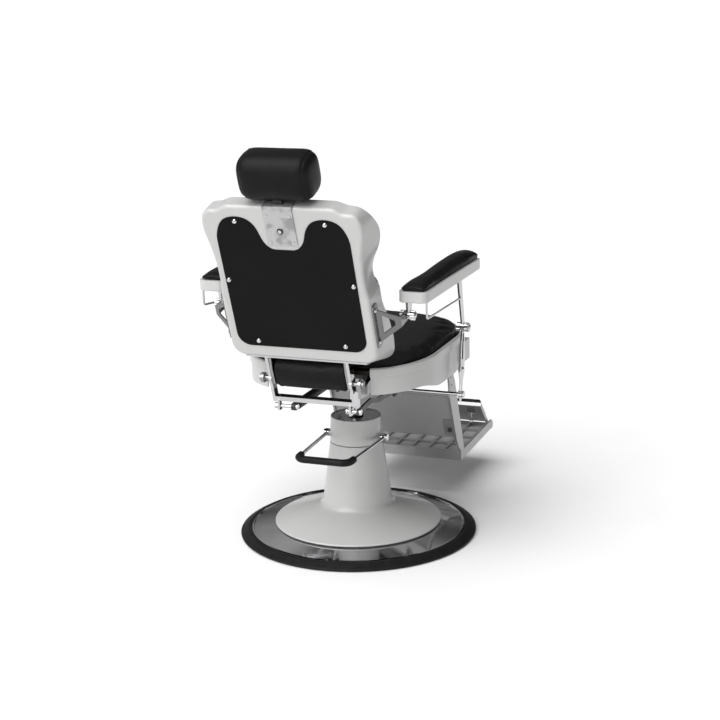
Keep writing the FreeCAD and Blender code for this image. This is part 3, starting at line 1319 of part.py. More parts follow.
def build_flap():
    """Padded flap folded back over the footrest, on knuckles round the front rod."""
    width = d.leg_half_width - d.leg_plate - 4
    tray = [box(-width, width, 16, d.flap_length, 0, 4, flap),
            box(-width, width, d.flap_length - 4, d.flap_length, -8, 4, flap)]
    for x0 in (width - 4, -width):
        tray.append(box(x0, x0 + 4, 0, d.flap_length, -8, 4, flap))
        tray.append(cylinder_x(9, x0, x0 + 4, 0, 0, flap))
    prop_x = d.leg_half_width - 49
    tray.append(box(-prop_x - 12, -prop_x + 12, 76, 92, -9, 0, flap))
    whole = cut(fuse(tray), cylinder_x(d.pin_radius + d.turning_gap, -220, 220, 0, 0, flap))
    node(whole, "flap_tray")
    half = width.value - 2
    length = d.flap_length.value
    wires = []
    for lift, inset in ((4, 2), (10, 0), (19, 1), (25, 6), (28, 16)):
        corners = [vector(-half + inset, 22 + inset, lift), vector(half - inset, 22 + inset, lift),
                   vector(half - inset, length - inset, lift), vector(-half + inset, length - inset, lift)]
        wires.append(Part.makePolygon(corners + corners[:1]))
    pad = Part.makeLoft(wires, True, True)
    node(shape_of(pad, 0, flap.y, flap.z, flap.angle), "flap_pad")
    pivot_y, pivot_z = footrest.point(-264, 34)
    top_y, top_z = flap.point(84, -12.4)
    stem = rod(3, -prop_x, (pivot_y, pivot_z), (top_y, top_z))
    foot = cylinder_x(6, -prop_x - 6, -prop_x + 6, pivot_y, pivot_z)
    fork = cylinder_x(3, -prop_x - 10, -prop_x + 10, top_y, top_z)
    node(fuse([stem, foot, fork]), "flap_prop")


# Links between the back and the seat

def build_leg_link():
    """Dark flat link, bent near the rear, from the crossbar to the crank of the leg frame."""
    bend_y, bend_z = cross_pin_y - 90, cross_pin_z + 7
    knee_y, knee_z = cross_pin_y - 144, cross_pin_z - 6
    points = [(cross_pin_y, cross_pin_z - 7), (cross_pin_y, cross_pin_z + 7), (bend_y, bend_z + 7),
              (knee_y, knee_z + 7), (leg_pin_y, leg_pin_z + 7), (leg_pin_y, leg_pin_z - 7),
              (knee_y, knee_z - 7), (bend_y, bend_z - 7)]
    link = eye_bar(points, -126, 6, [(cross_pin_y, cross_pin_z, 9, d.pin_radius + d.turning_gap),
                                     (leg_pin_y, leg_pin_z, 10, d.pin_radius + d.loose_gap)])
    node(link, "leg_link")


def build_lock():
    """Lock cylinder on the crossbar pin and its piston rod, which ends in a wide eye on the seat frame."""
    run_y = d.lock_anchor_y - cross_pin_y
    run_z = d.lock_anchor_z - cross_pin_z
    length = math.hypot(run_y.value, run_z.value)
    radius = d.lock_radius.value
    bore = d.pin_radius.value + d.turning_gap.value
    tube = Part.makeCylinder(radius, 232, vector(0, 0, 17))
    tube = tube.makeFillet(3, [edge for edge in tube.Edges if edge.BoundBox.ZLength < 0.01])
    eye = Part.makeCylinder(10, 12, vector(-6, 0, 0), X_AXIS)
    neck = Part.makeCylinder(7, 14, vector(0, 0, 6))
    tube = tube.fuse(neck).fuse(eye)
    tube = tube.cut(Part.makeCylinder(radius - 3, 212, vector(0, 0, 28)))
    tube = tube.cut(Part.makeCylinder(5.05, 40, vector(0, 0, 225)))
    tube = tube.cut(Part.makeCylinder(bore, 20, vector(-10, 0, 0), X_AXIS))
    angle = math.degrees(math.atan2(-run_y.value, run_z.value))
    node(shape_of(tube, d.lock_offset, cross_pin_y, cross_pin_z, angle), "lock_cylinder")
    piston = Part.makeCylinder(radius - 3.05, 12, vector(0, 0, 96))
    shaft = Part.makeCylinder(5, length - 96 - 12, vector(0, 0, 96))
    ring = Part.makeCylinder(15, 12, vector(-6, 0, length), X_AXIS)
    whole = piston.fuse(shaft).fuse(ring)
    whole = whole.cut(Part.makeCylinder(11, 20, vector(-10, 0, length), X_AXIS))
    node(shape_of(whole, d.lock_offset, cross_pin_y, cross_pin_z, angle), "lock_rod")


def build_all():
    build_base_ring()
    build_base_disc()
    build_base_plate()
    build_column()
    build_pump()
    build_collar()
    build_pedal()
    build_ram_and_hub()
    build_seat_frame()
    build_seat_shell()
    build_seat_board()
    build_seat_cushion()
    build_shafts()
    build_hinge_lugs()
    build_back_shell()
    build_back_inside()
    build_back_panel()
    build_headrest_bracket()
    build_headrest()
    build_back_arms()
    build_crossbar()
    build_roll()
    build_arm_brackets()
    build_rear_pins()
    for side, label in ((1, "left"), (-1, "right")):
        build_arm(side, label)
        build_pillar(side, label)
    build_leg_frame()
    build_footrest()
    build_flap()
    build_leg_link()
    build_lock()


def check_document():
    """Stop on any object that failed or any sub-part without a sound shape."""
    for obj in doc.Objects:
        if "Invalid" in obj.State or "Error" in obj.State:
            raise RuntimeError(f"{obj.Label} has failed")
    for obj in nodes:
        if obj.Shape.isNull() or not obj.Shape.isValid() or not obj.Shape.Solids:
            raise RuntimeError(f"{obj.Label} has no sound shape")


build_all()
doc.recompute()
check_document()
os.makedirs("parts", exist_ok=True)
for obj in nodes:
    obj.Shape.exportStep(f"parts/{obj.Label}.step")
print(len(nodes), "sub-parts written")
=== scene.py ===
import math

import bpy
import numpy as np
from mathutils import Matrix, Vector
from mathutils.bvhtree import BVHTree


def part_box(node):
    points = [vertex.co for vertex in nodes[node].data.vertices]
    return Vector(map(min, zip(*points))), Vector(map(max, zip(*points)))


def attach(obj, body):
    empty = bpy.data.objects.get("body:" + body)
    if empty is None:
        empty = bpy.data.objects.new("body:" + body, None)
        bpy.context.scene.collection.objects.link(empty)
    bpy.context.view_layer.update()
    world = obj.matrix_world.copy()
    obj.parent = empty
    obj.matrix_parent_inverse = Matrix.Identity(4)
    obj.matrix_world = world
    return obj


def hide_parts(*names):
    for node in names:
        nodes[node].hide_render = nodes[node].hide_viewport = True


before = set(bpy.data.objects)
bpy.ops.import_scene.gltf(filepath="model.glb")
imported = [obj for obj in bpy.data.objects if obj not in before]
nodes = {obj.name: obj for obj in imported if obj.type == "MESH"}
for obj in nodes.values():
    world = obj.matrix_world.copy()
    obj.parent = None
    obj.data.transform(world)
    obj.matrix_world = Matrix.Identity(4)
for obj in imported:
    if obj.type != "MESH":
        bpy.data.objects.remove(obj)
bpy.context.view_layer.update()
scene = bpy.context.scene

# The back's own frame: origin on its rear face, t up the back, depth towards the sitter
BACK_Y, BACK_Z, BACK_TILT = 0.3666, 0.6373, math.radians(19.5)
BACK_REAR = Vector((0, math.cos(BACK_TILT), -math.sin(BACK_TILT)))
BACK_UP = Vector((0, math.sin(BACK_TILT), math.cos(BACK_TILT)))


def back_point(x, depth, t):
    return Vector((x, BACK_Y, BACK_Z)) - BACK_REAR * depth + BACK_UP * t


# Camera, placed from the photograph's vanishing points and known sizes
CAMERA_PLACE = (-1.6247, 4.1372, 1.6554)
CAMERA_FORWARD = (0.3507, -0.9022, -0.2511)
CAMERA_LEVEL = (-0.9320, -0.3623, 0)
ROLL_COS, ROLL_SIN = 0.99973, 0.02339
SENSOR_WIDTH, LENS = 36, 81.76


def make_camera():
    forward = Vector(CAMERA_FORWARD).normalized()
    level = Vector(CAMERA_LEVEL).normalized()
    upright = level.cross(forward)
    right = level * ROLL_COS - upright * ROLL_SIN
    up = level * ROLL_SIN + upright * ROLL_COS
    turn = Matrix((right, up, -forward)).transposed().to_4x4()
    data = bpy.data.cameras.new("camera")
    data.sensor_width = SENSOR_WIDTH
    data.lens = LENS
    data.clip_start = 0.1
    data.clip_end = 400
    camera = bpy.data.objects.new("camera", data)
    scene.collection.objects.link(camera)
    camera.matrix_world = Matrix.Translation(CAMERA_PLACE) @ turn
    scene.camera = camera


make_camera()


# Materials

def map_range(tree, fac, low, high, start, end):
    """Maps a factor between start and end onto low to high."""
    node = tree.nodes.new("ShaderNodeMapRange")
    for socket, value in (("From Min", start), ("From Max", end), ("To Min", low), ("To Max", high)):
        node.inputs[socket].default_value = value
    tree.links.new(fac, node.inputs["Value"])
    return node.outputs["Result"]


class Finish:
    """A Principled material with short calls for the nodes that shape it."""

    def __init__(self, name, **settings):
        self.material = bpy.data.materials.new(name)
        self.material.use_nodes = True
        self.tree = self.material.node_tree
        self.shader = self.tree.nodes["Principled BSDF"]
        self.place = self.tree.nodes.new("ShaderNodeTexCoord").outputs["Object"]
        for socket, value in settings.items():
            self.shader.inputs[socket.replace("_", " ")].default_value = value

    def link(self, output, socket):
        self.tree.links.new(output, self.shader.inputs[socket])

    def stretched(self, scale):
        mapping = self.tree.nodes.new("ShaderNodeMapping")
        mapping.inputs["Scale"].default_value = scale
        self.tree.links.new(self.place, mapping.inputs["Vector"])
        return mapping.outputs["Vector"]

    def noise(self, scale, detail=4, rough=0.55, along=None):
        node = self.tree.nodes.new("ShaderNodeTexNoise")
        node.inputs["Scale"].default_value = scale
        node.inputs["Detail"].default_value = detail
        node.inputs["Roughness"].default_value = rough
        self.tree.links.new(along or self.place, node.inputs["Vector"])
        return node.outputs["Fac"]

    def cells(self, scale):
        node = self.tree.nodes.new("ShaderNodeTexVoronoi")
        node.feature = "SMOOTH_F1"
        node.inputs["Scale"].default_value = scale
        node.inputs["Smoothness"].default_value = 0.4
        self.tree.links.new(self.place, node.inputs["Vector"])
        return node.outputs["Distance"]

    def spread(self, fac, low, high, start=0.3, end=0.7):
        return map_range(self.tree, fac, low, high, start, end)

    def blend(self, fac, first, second):
        node = self.tree.nodes.new("ShaderNodeMix")
        node.data_type = "RGBA"
        node.inputs["A"].default_value = (*first, 1)
        node.inputs["B"].default_value = (*second, 1)
        self.tree.links.new(fac, node.inputs["Factor"])
        return node.outputs["Result"]

    def add(self, first, second):
        node = self.tree.nodes.new("ShaderNodeMath")
        node.operation = "ADD"
        self.tree.links.new(first, node.inputs[0])
        self.tree.links.new(second, node.inputs[1])
        return node.outputs["Value"]

    def bump(self, height, distance, strength=1.0, under=None):
        node = self.tree.nodes.new("ShaderNodeBump")
        node.inputs["Distance"].default_value = distance
        node.inputs["Strength"].default_value = strength
        self.tree.links.new(height, node.inputs["Height"])
        if under is not None:
            self.tree.links.new(under, node.inputs["Normal"])
        return node.outputs["Normal"]


def grey(tone):
    return tone, tone, tone


def enamel():
    """White stoved enamel: faint orange peel, slow drifts of tone, a clear gloss."""
    f = Finish("white_enamel", Coat_Weight=0.3, Coat_Roughness=0.12)
    f.link(f.blend(f.spread(f.noise(4, 2), 0, 1), (0.485, 0.485, 0.48), (0.515, 0.515, 0.51)), "Base Color")
    f.link(f.spread(f.noise(9, 3), 0.30, 0.38), "Roughness")
    f.link(f.bump(f.noise(190, 2), 0.0002, 0.3), "Normal")
    return f.material


def leather(name, dark, light, gloss_low, gloss_high, specular, grain=520):
    """Grained leather: pebbles, creases between them, and duller worn patches."""
    f = Finish(name, IOR=1.5, Specular_IOR_Level=specular)
    patches = f.noise(9, 5)
    f.link(f.blend(f.spread(patches, 0, 1), dark, light), "Base Color")
    pebbles = f.cells(grain)
    fine = f.noise(grain * 2.2, 3)
    rough = f.add(f.spread(patches, gloss_low, gloss_high), f.spread(pebbles, -0.03, 0.05, 0, 1))
    f.link(rough, "Roughness")
    folds = f.bump(f.noise(30, 5, 0.6), 0.0016, 0.4)
    grained = f.bump(f.spread(pebbles, 1, 0, 0, 1), 0.0005, 0.5, folds)
    f.link(f.bump(fine, 0.0002, 0.4, grained), "Normal")
    return f.material


def metal(name, tone, rough_low, rough_high, smear=None, metallic=1.0):
    """Plated or polished metal with wipe marks and faint waviness."""
    f = Finish(name, Metallic=metallic)
    along = f.stretched(smear) if smear else None
    marks = f.noise(26, 6, 0.6, along)
    darker = tuple(0.9 * c for c in tone)
    f.link(f.blend(f.spread(marks, 0, 1), darker, tone), "Base Color")
    f.link(f.spread(marks, rough_low, rough_high), "Roughness")
    f.link(f.bump(f.noise(70, 3, 0.5, along), 0.00012, 0.4), "Normal")
    return f.material


def rubber():
    """Matt moulded rubber with a fine grain."""
    f = Finish("black_rubber", Specular_IOR_Level=0.14)
    f.link(f.blend(f.spread(f.noise(40, 5), 0, 1), grey(0.007), grey(0.013)), "Base Color")
    f.link(f.spread(f.noise(18, 5), 0.42, 0.6), "Roughness")
    f.link(f.bump(f.noise(420, 3), 0.0003, 0.5), "Normal")
    return f.material


def paint(name, low, high, rough_low, rough_high, specular=0.4):
    """Sprayed paint or dyed thread: small drifts of tone and a fine surface."""
    f = Finish(name, Specular_IOR_Level=specular)
    f.link(f.blend(f.spread(f.noise(22, 5), 0, 1), low, high), "Base Color")
    f.link(f.spread(f.noise(60, 4), rough_low, rough_high), "Roughness")
    f.link(f.bump(f.noise(320, 3), 0.0002, 0.45), "Normal")
    return f.material


def bracket_plate():
    """Thin plated sheet, bright, with darker clouded patches painted into its colour as reflections of dark
    surroundings.
    """
    f = Finish("bracket_sheet", Metallic=0.55)
    painted_reflections = f.noise(26, 3, 0.5)
    # Painted reflection: the darker patches in the base colour stand in for dark things mirrored in the
    # sheet.
    f.link(f.blend(f.spread(painted_reflections, 0, 1, 0.50, 0.62), grey(0.48), grey(0.30)), "Base Color")
    f.link(f.spread(f.noise(60, 5), 0.16, 0.28), "Roughness")
    f.link(f.bump(f.noise(80, 3), 0.0002, 0.4), "Normal")
    return f.material


def plywood():
    """Plywood stained almost black, with its grain running along X."""
    f = Finish("stained_plywood", Specular_IOR_Level=0.2)
    grain = f.noise(30, 6, 0.6, f.stretched((1.0, 14.0, 60.0)))
    f.link(f.blend(f.spread(grain, 0, 1), (0.010, 0.008, 0.006), (0.024, 0.020, 0.015)), "Base Color")
    f.link(f.spread(grain, 0.55, 0.75), "Roughness")
    f.link(f.bump(grain, 0.0004, 0.5), "Normal")
    return f.material


FINISHES = {
    "enamel": enamel(),
    "leather": leather("black_leather", (0.0045, 0.0045, 0.0044), (0.0080, 0.0079, 0.0078), 0.34, 0.48, 0.13),
    "panel": leather("panel_vinyl", grey(0.0072), (0.0088, 0.0088, 0.0087), 0.55, 0.62, 0.05, 900),
    "thread": paint("black_thread", grey(0.010), grey(0.016), 0.6, 0.75, 0.2),
    "chrome": metal("polished_chrome", (0.62, 0.62, 0.63), 0.04, 0.11),
    "plate": metal("chrome_sheet", (0.6, 0.6, 0.61), 0.05, 0.12),
    "bracket": bracket_plate(),
    # Painted reflection: the arm brackets are chrome, and their tone is cut to 0.2 to paint in the dark
    # reflections they show.
    "painted_dark_chrome": metal("bracket_chrome_painted_dark", grey(0.2), 0.16, 0.3),
    "satin": metal("satin_chrome", grey(0.36), 0.2, 0.32),
    "aluminium": metal("grey_aluminium", grey(0.43), 0.3, 0.44, (1.2, 26.0, 26.0), 0.6),
    "panel_grey": paint("grey_sheet", grey(0.34), grey(0.37), 0.42, 0.54),
    "plated": metal("zinc_plate", (0.5, 0.5, 0.49), 0.28, 0.45),
    "dark": paint("dark_paint", grey(0.016), (0.03, 0.03, 0.029), 0.28, 0.42),
    "rubber": rubber(),
    "wood": plywood(),
}

NODE_FINISH = {
    "enamel": ["column_skirt", "pump_collar", "seat_shell", "back_shell", "arm_base_left", "arm_base_right"],
    "rubber": ["base_ring", "pedal_grip", "ram_wiper"],
    "panel": ["back_panel"],
    "wood": ["back_board", "seat_board"],
    "dark": ["seat_frame", "leg_link", "lock_cylinder", "headrest_bar"],
    "aluminium": ["footrest_frame", "footrest_tread", "flap_tray", "leg_frame"],
    "panel_grey": ["leg_panel"],
    "plate": ["base_plate"],
    "bracket": ["headrest_bracket"],
    "satin": ["collar_cap", "seat_hub", "roll_plates", "hinge_lugs", "leg_shaft"],
    # The arm brackets get chrome that is darkened with painted reflections.
    "painted_dark_chrome": ["arm_brackets"],
    "plated": ["base_disc", "pump_cylinder", "pump_bolts", "swivel_bushes", "pump_barrel", "hub_bolts"],
    "leather": ["seat_cushion", "back_cushion", "headrest_pillow", "back_roll", "arm_pad_left",
                "arm_pad_right", "flap_pad"],
}
finish_of = {node: finish for finish, names in NODE_FINISH.items() for node in names}


def paint_nodes():
    """Gives every solid its finish; those not listed are polished chrome."""
    for name, obj in nodes.items():
        material = FINISHES[finish_of.get(name, "chrome")]
        obj.data.materials.clear()
        obj.data.materials.append(material)


paint_nodes()


# Mesh helpers
TURNED_STEPS = 40


def mesh_object(name, vertices, faces, finish):
    """A smooth-shaded piece with its finish."""
    mesh = bpy.data.meshes.new(name)
    mesh.from_pydata([tuple(v) for v in vertices], [], faces)
    mesh.update()
    mesh.shade_smooth()
    obj = bpy.data.objects.new(name, mesh)
    scene.collection.objects.link(obj)
    obj.data.materials.append(FINISHES[finish])
    return obj


def axes_for(direction):
    """Two unit vectors square to a direction."""
    direction = Vector(direction).normalized()
    helper = Vector((1, 0, 0)) if abs(direction.x) < 0.9 else Vector((0, 1, 0))
    first = direction.cross(helper).normalized()
    return first, direction.cross(first).normalized()


def turned(name, profile, centre, direction, finish, body, ring=False):
    """A turned piece; profile holds (radius, distance along the axis) and closes on itself for a ring."""
    direction = Vector(direction).normalized()
    first, second = axes_for(direction)
    vertices, faces = [], []
    for radius, along in profile:
        for i in range(TURNED_STEPS):
            angle = 2 * math.pi * i / TURNED_STEPS
            spoke = (first * math.cos(angle) + second * math.sin(angle)) * radius
            vertices.append(Vector(centre) + spoke + direction * along)
    rows = len(profile)
    for row in range(rows if ring else rows - 1):
        a, b = row * TURNED_STEPS, (row + 1) % rows * TURNED_STEPS
        for i in range(TURNED_STEPS):
            j = (i + 1) % TURNED_STEPS
            faces.append((a + i, a + j, b + j, b + i))
    if not ring:
        faces.append(tuple(range(TURNED_STEPS - 1, -1, -1)))
        faces.append(tuple(range((rows - 1) * TURNED_STEPS, rows * TURNED_STEPS)))
    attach(mesh_object(name, vertices, faces, finish), body)


# Soft pieces: each starts from its solid, a little smaller, and is blown up as sewn leather

def depth_of(p):
    """How far points lie in front of the back's rear face."""
    return (np.array([0, BACK_Y, BACK_Z]) - p) @ np.array(BACK_REAR)


def height_of(p):
    """How far up the back points lie."""
    return (p - np.array([0, BACK_Y, BACK_Z])) @ np.array(BACK_UP)


def seat_held(p):
    """The seat cushion rests on its board and against the rim of the shell."""
    return p[:, 2] < SEAT_RIM


def back_held(p):
    """The back cushion fills the shell up to its rim."""
    return depth_of(p) < BACK_RIM


def pillow_held(p):
    """The pillow is held where its bar enters it."""
    t = height_of(p)
    return (np.abs(p[:, 0]) < PILLOW_GRIP) & (t < t.min() + PILLOW_HELD)


def roll_held(p):
    """The roll is held by its two end plates."""
    return np.abs(p[:, 0]) > ROLL_SEAM


def arm_held(p):
    """Each arm pad is held along its base."""
    return p[:, 2] < ARM_SEAT + ARM_HELD


def flap_held(p):
    """The flap pad is held on its tray."""
    height = p @ np.array([0, -math.sin(FLAP_TILT), math.cos(FLAP_TILT)])
    return height < height.min() + FLAP_HELD


# half width of the pillow's held band, and heights of the held bands
PILLOW_GRIP = 0.020
PILLOW_HELD, ARM_HELD, FLAP_HELD = 0.010, 0.004, 0.007
BACK_RIM = 0.089
SHOULDER_FALL, SHOULDER_INSET, WAIST_SWELL = 0.022, 0.009, 0.009
WAIST_HEIGHT, WAIST_REACH = 0.170, 0.055
ROLL_SAG = 0.009
SEAT_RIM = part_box("seat_shell")[1].z + 0.003
ARM_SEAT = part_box("arm_pad_left")[0].z
PILLOW_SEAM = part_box("headrest_pillow")[1].x - 0.014
ROLL_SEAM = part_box("back_roll")[1].x - 0.006
ARM_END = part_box("arm_pad_left")[1].y - 0.016
FLAP_TILT = math.radians(47)

SIM_FRAMES = 18
EASE_STEPS = {"headrest_pillow": 40}
SOFT = [
    # node, body, voxel, shrink, cap, pressure, held
    ("seat_cushion", "seat", 0.0065, 0.004, 0.007, 3.0, seat_held),
    ("back_cushion", "back", 0.0065, 0.003, 0.009, 3.0, back_held),
    ("headrest_pillow", "headrest", 0.0050, -0.001, 0.0045, 4.0, pillow_held),
    ("back_roll", "back", 0.0045, 0.0005, 0.0045, 5.0, roll_held),
    ("arm_pad_left", "arm_left", 0.0045, 0.003, 0.0045, 4.0, arm_held),
    ("arm_pad_right", "arm_right", 0.0045, 0.003, 0.0045, 4.0, arm_held),
    ("flap_pad", "foot_flap", 0.0050, 0.003, 0.0045, 4.0, flap_held),
]


def points_of(mesh):
    """The mesh's points as rows of an array."""
    flat = np.empty(len(mesh.vertices) * 3)
    mesh.vertices.foreach_get("co", flat)
    return flat.reshape(-1, 3)


def normals_of(mesh):
    flat = np.empty(len(mesh.vertices) * 3)
    mesh.vertex_normals.foreach_get("vector", flat)
    return flat.reshape(-1, 3)


def settle(mesh, points):
    """Puts the mesh's points where the rows of an array say."""
    mesh.vertices.foreach_set("co", points.astype(np.float32).ravel())
    mesh.update()


def baked(obj):
    """The object's mesh with its modifiers applied, as a new mesh."""
    depsgraph = bpy.context.evaluated_depsgraph_get()
    return bpy.data.meshes.new_from_object(obj.evaluated_get(depsgraph))


def rise(value, start, width):
    """0 up to start and 1 from start + width on, with a straight rise between."""
    return np.clip((value - start) / width, 0, 1)


def drawn_in(p):
    """The back cushion's shoulders slope down and in towards its front, and its waist swells over the rim."""
    t, depth = height_of(p), depth_of(p)
    forward = rise(depth, 0.084, 0.034)
    high = rise(t, 0.262, 0.11)
    wide = rise(np.abs(p[:, 0]), 0.12, 0.08)
    shoulder = rise(t, 0.24, 0.06)
    waist = np.exp(-((t - WAIST_HEIGHT) / WAIST_REACH) ** 2) * rise(depth, BACK_RIM, 0.006)
    moved = p - np.array(BACK_UP) * (SHOULDER_FALL * forward * high)[:, None]
    moved[:, 0] += np.sign(p[:, 0]) * wide * (WAIST_SWELL * waist - SHOULDER_INSET * forward * shoulder)
    return moved


def sagged(p):
    """The roll's stuffing settles, so its underside hangs lower between the end plates."""
    low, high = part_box("back_roll")
    under = np.clip((high.z - 0.01 - p[:, 2]) / (high.z - low.z - 0.01), 0, 1)
    between = np.sqrt(np.clip((ROLL_SEAM + 0.005 - np.abs(p[:, 0])) / 0.012, 0, 1))
    lowered = p.copy()
    lowered[:, 2] -= ROLL_SAG * under * between
    return lowered


def blank_cushion(node, voxel, shrink):
    """The solid of a soft node as an even net, drawn in by shrink."""
    name = f"{node}_leather"
    obj = bpy.data.objects.new(name, nodes[node].data.copy())
    scene.collection.objects.link(obj)
    remesh = obj.modifiers.new("net", "REMESH")
    remesh.mode = "VOXEL"
    remesh.voxel_size = voxel
    smooth = obj.modifiers.new("ease", "SMOOTH")
    smooth.factor = 0.5
    smooth.iterations = EASE_STEPS.get(node, 3)
    bpy.context.view_layer.update()
    mesh = baked(obj)
    obj.modifiers.clear()
    obj.data = mesh
    start = points_of(mesh)
    inner = start - normals_of(mesh) * shrink
    if node == "back_cushion":
        inner = drawn_in(inner)
    if node == "back_roll":
        inner = sagged(inner)
    settle(mesh, inner)
    return obj, inner


def add_cloth(obj, held, pressure):
    pins = obj.vertex_groups.new(name="held")
    pins.add([int(i) for i in np.nonzero(held)[0]], 1.0, "REPLACE")
    cloth = obj.modifiers.new("cloth", "CLOTH")
    cloth.point_cache.frame_start = 1
    cloth.point_cache.frame_end = SIM_FRAMES
    settings = cloth.settings
    settings.quality = 4
    settings.mass = 0.25
    settings.tension_stiffness = 12
    settings.compression_stiffness = 12
    settings.shear_stiffness = 6
    settings.bending_stiffness = 1.5
    settings.shrink_min = -0.004
    settings.use_pressure = True
    settings.uniform_pressure_force = pressure
    settings.vertex_group_mass = "held"
    settings.effector_weights.gravity = 0
    cloth.collision_settings.use_collision = False


def make_soft():
    made = []
    for node, body, voxel, shrink, cap, pressure, hold in SOFT:
        obj, start = blank_cushion(node, voxel, shrink)
        obj.data.materials.clear()
        obj.data.materials.append(FINISHES["leather"])
        held = hold(start)
        add_cloth(obj, held, pressure)
        made.append((obj, node, body, start, shrink, cap, held))
    scene.frame_start, scene.frame_end = 1, SIM_FRAMES
    for step in range(1, SIM_FRAMES + 1):
        scene.frame_set(step)
    finished = {}
    for obj, node, body, start, shrink, cap, held in made:
        blown = baked(obj)
        moved = points_of(blown)
        bpy.data.meshes.remove(blown)
        travel = moved - start
        length = np.linalg.norm(travel, axis=1, keepdims=True)
        travel *= np.minimum(1, cap / np.maximum(length, 1e-9))
        obj.modifiers.clear()
        obj.vertex_groups.clear()
        settle(obj.data, start + travel)
        finer = obj.modifiers.new("finer", "SUBSURF")
        finer.levels = finer.render_levels = 1
        mesh = baked(obj)
        obj.modifiers.clear()
        obj.data = mesh
        mesh.shade_smooth()
        finished[node] = obj
    scene.frame_set(1)
    for obj, node, body, *_ in made:
        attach(obj, body)
        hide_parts(node)
    return finished


cushions = make_soft()


# Seams: a shallow groove in the leather, and a row of stitches beside it
STITCH_PITCH, STITCH_LENGTH = 0.007, 0.0046
THREAD_RADIUS, THREAD_SIDES = 0.0006, 6
# places along a thread as shares of its length, and its thickness there
THREAD_FORM = ((-0.5, 0.25), (-0.36, 0.85), (0, 1.0), (0.36, 0.85), (0.5, 0.25))
SIDES = ((1, "left"), (-1, "right"))
# half width, foot, top and corner radius of the seam on the back cushion's front
BACK_SEAM = (0.160, -0.078, 0.296, 0.055)
# how far inside their seams the stitches run
BACK_STITCH_INSET, PILLOW_STITCH_INSET, ROLL_STITCH_INSET, ARM_STITCH_INSET = 0.0055, 0.0045, 0.006, 0.004


def crease(obj, distance, width=0.0028, depth=0.0016):
    """Draws the surface in where the distance to a seam is small."""
    p = points_of(obj.data)
    share = np.exp(-(distance / width) ** 2)[:, None]
    settle(obj.data, p - normals_of(obj.data) * depth * share)


def surface(obj):
    """A cushion's skin, to drop stitches on."""
    depsgraph = bpy.context.evaluated_depsgraph_get()
    return BVHTree.FromObject(obj, depsgraph)


def drop_on(tree, start, direction):
    """The point and normal where a line meets a cushion, or None."""
    place, normal, _, _ = tree.ray_cast(Vector(start), Vector(direction))
    return None if place is None else (place, normal)


def stitch_row(name, spots, body):
    """Short threads laid end to end along points on a cushion, as one mesh; spots hold (point, normal)."""
    spots = [spot for spot in spots if spot is not None]
    vertices, faces = [], []
    travelled = STITCH_PITCH
    for (a, normal), (b, _) in zip(spots, spots[1:]):
        step = b - a
        travelled += step.length
        if travelled < STITCH_PITCH or step.length < 1e-6:
            continue
        travelled = 0
        heading = step.normalized()
        side = heading.cross(normal).normalized()
        base = len(vertices)
        for along, swell in THREAD_FORM:
            ring = a + heading * along * STITCH_LENGTH + normal * THREAD_RADIUS * 0.35
            for k in range(THREAD_SIDES):
                angle = 2 * math.pi * k / THREAD_SIDES
                spoke = side * math.cos(angle) + normal * math.sin(angle)
                vertices.append(ring + spoke * THREAD_RADIUS * swell)
        last = base + (len(THREAD_FORM) - 1) * THREAD_SIDES
        for first in range(base, last, THREAD_SIDES):
            for k in range(THREAD_SIDES):
                m = (k + 1) % THREAD_SIDES
                faces.append((first + k, first + m, first + THREAD_SIDES + m, first + THREAD_SIDES + k))
        faces.append(tuple(base + k for k in range(THREAD_SIDES - 1, -1, -1)))
        faces.append(tuple(last + k for k in range(THREAD_SIDES)))
    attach(mesh_object(name, vertices, faces, "thread"), body)


def stitch_fan(name, tree, centre, axis, sweep, count, body):
    """Stitches where lines fanned out from a centre, between one axis and Z, meet a cushion."""
    spots = []
    for i in range(count + 1):
        angle = sweep * i / count
        direction = [0, 0, math.sin(angle)]
        direction[axis] = math.cos(angle)
        spots.append(drop_on(tree, centre, direction))
    stitch_row(name, spots, body)


def sew_pillow():
    """A seam round each end, where the end panel is set in."""
    obj = cushions["headrest_pillow"]
    crease(obj, np.abs(points_of(obj.data)[:, 0]) - PILLOW_SEAM)
    tree = surface(obj)
    low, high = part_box("headrest_pillow")
    middle = (low + high) / 2
    for side, label in SIDES:
        centre = Vector((side * (PILLOW_SEAM - PILLOW_STITCH_INSET), middle.y, middle.z))
        stitch_fan(f"pillow_stitches_{label}", tree, centre, 1, 2 * math.pi, 240, "headrest")


def sew_roll():
    """Stitches round each end of the roll."""
    tree = surface(cushions["back_roll"])
    low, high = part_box("back_roll")
    middle = (low + high) / 2
    for side, label in SIDES:
        centre = Vector((side * (ROLL_SEAM - ROLL_STITCH_INSET), middle.y, middle.z))
        stitch_fan(f"roll_stitches_{label}", tree, centre, 1, 2 * math.pi, 180, "back")


def sew_arms():
    """A seam across each pad near its rear end, where the cover is closed."""
    for _, label in SIDES:
        obj = cushions[f"arm_pad_{label}"]
        crease(obj, points_of(obj.data)[:, 1] - ARM_END, 0.0022, 0.0012)
        low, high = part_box(f"arm_pad_{label}")
        centre = ((low.x + high.x) / 2, ARM_END - ARM_STITCH_INSET, ARM_SEAT + 0.001)
        stitch_fan(f"arm_stitches_{label}", surface(obj), centre, 0, math.pi, 120, f"arm_{label}")


def rounded_rectangle(x, t, half, low, high, corner):
    """Signed distance of points (x, t) to a rounded rectangle."""
    middle, tall = (low + high) / 2, (high - low) / 2
    dx = np.abs(x) - (half - corner)
    dt = np.abs(t - middle) - (tall - corner)
    outside = np.hypot(np.maximum(dx, 0), np.maximum(dt, 0))
    return outside + np.minimum(np.maximum(dx, dt), 0) - corner


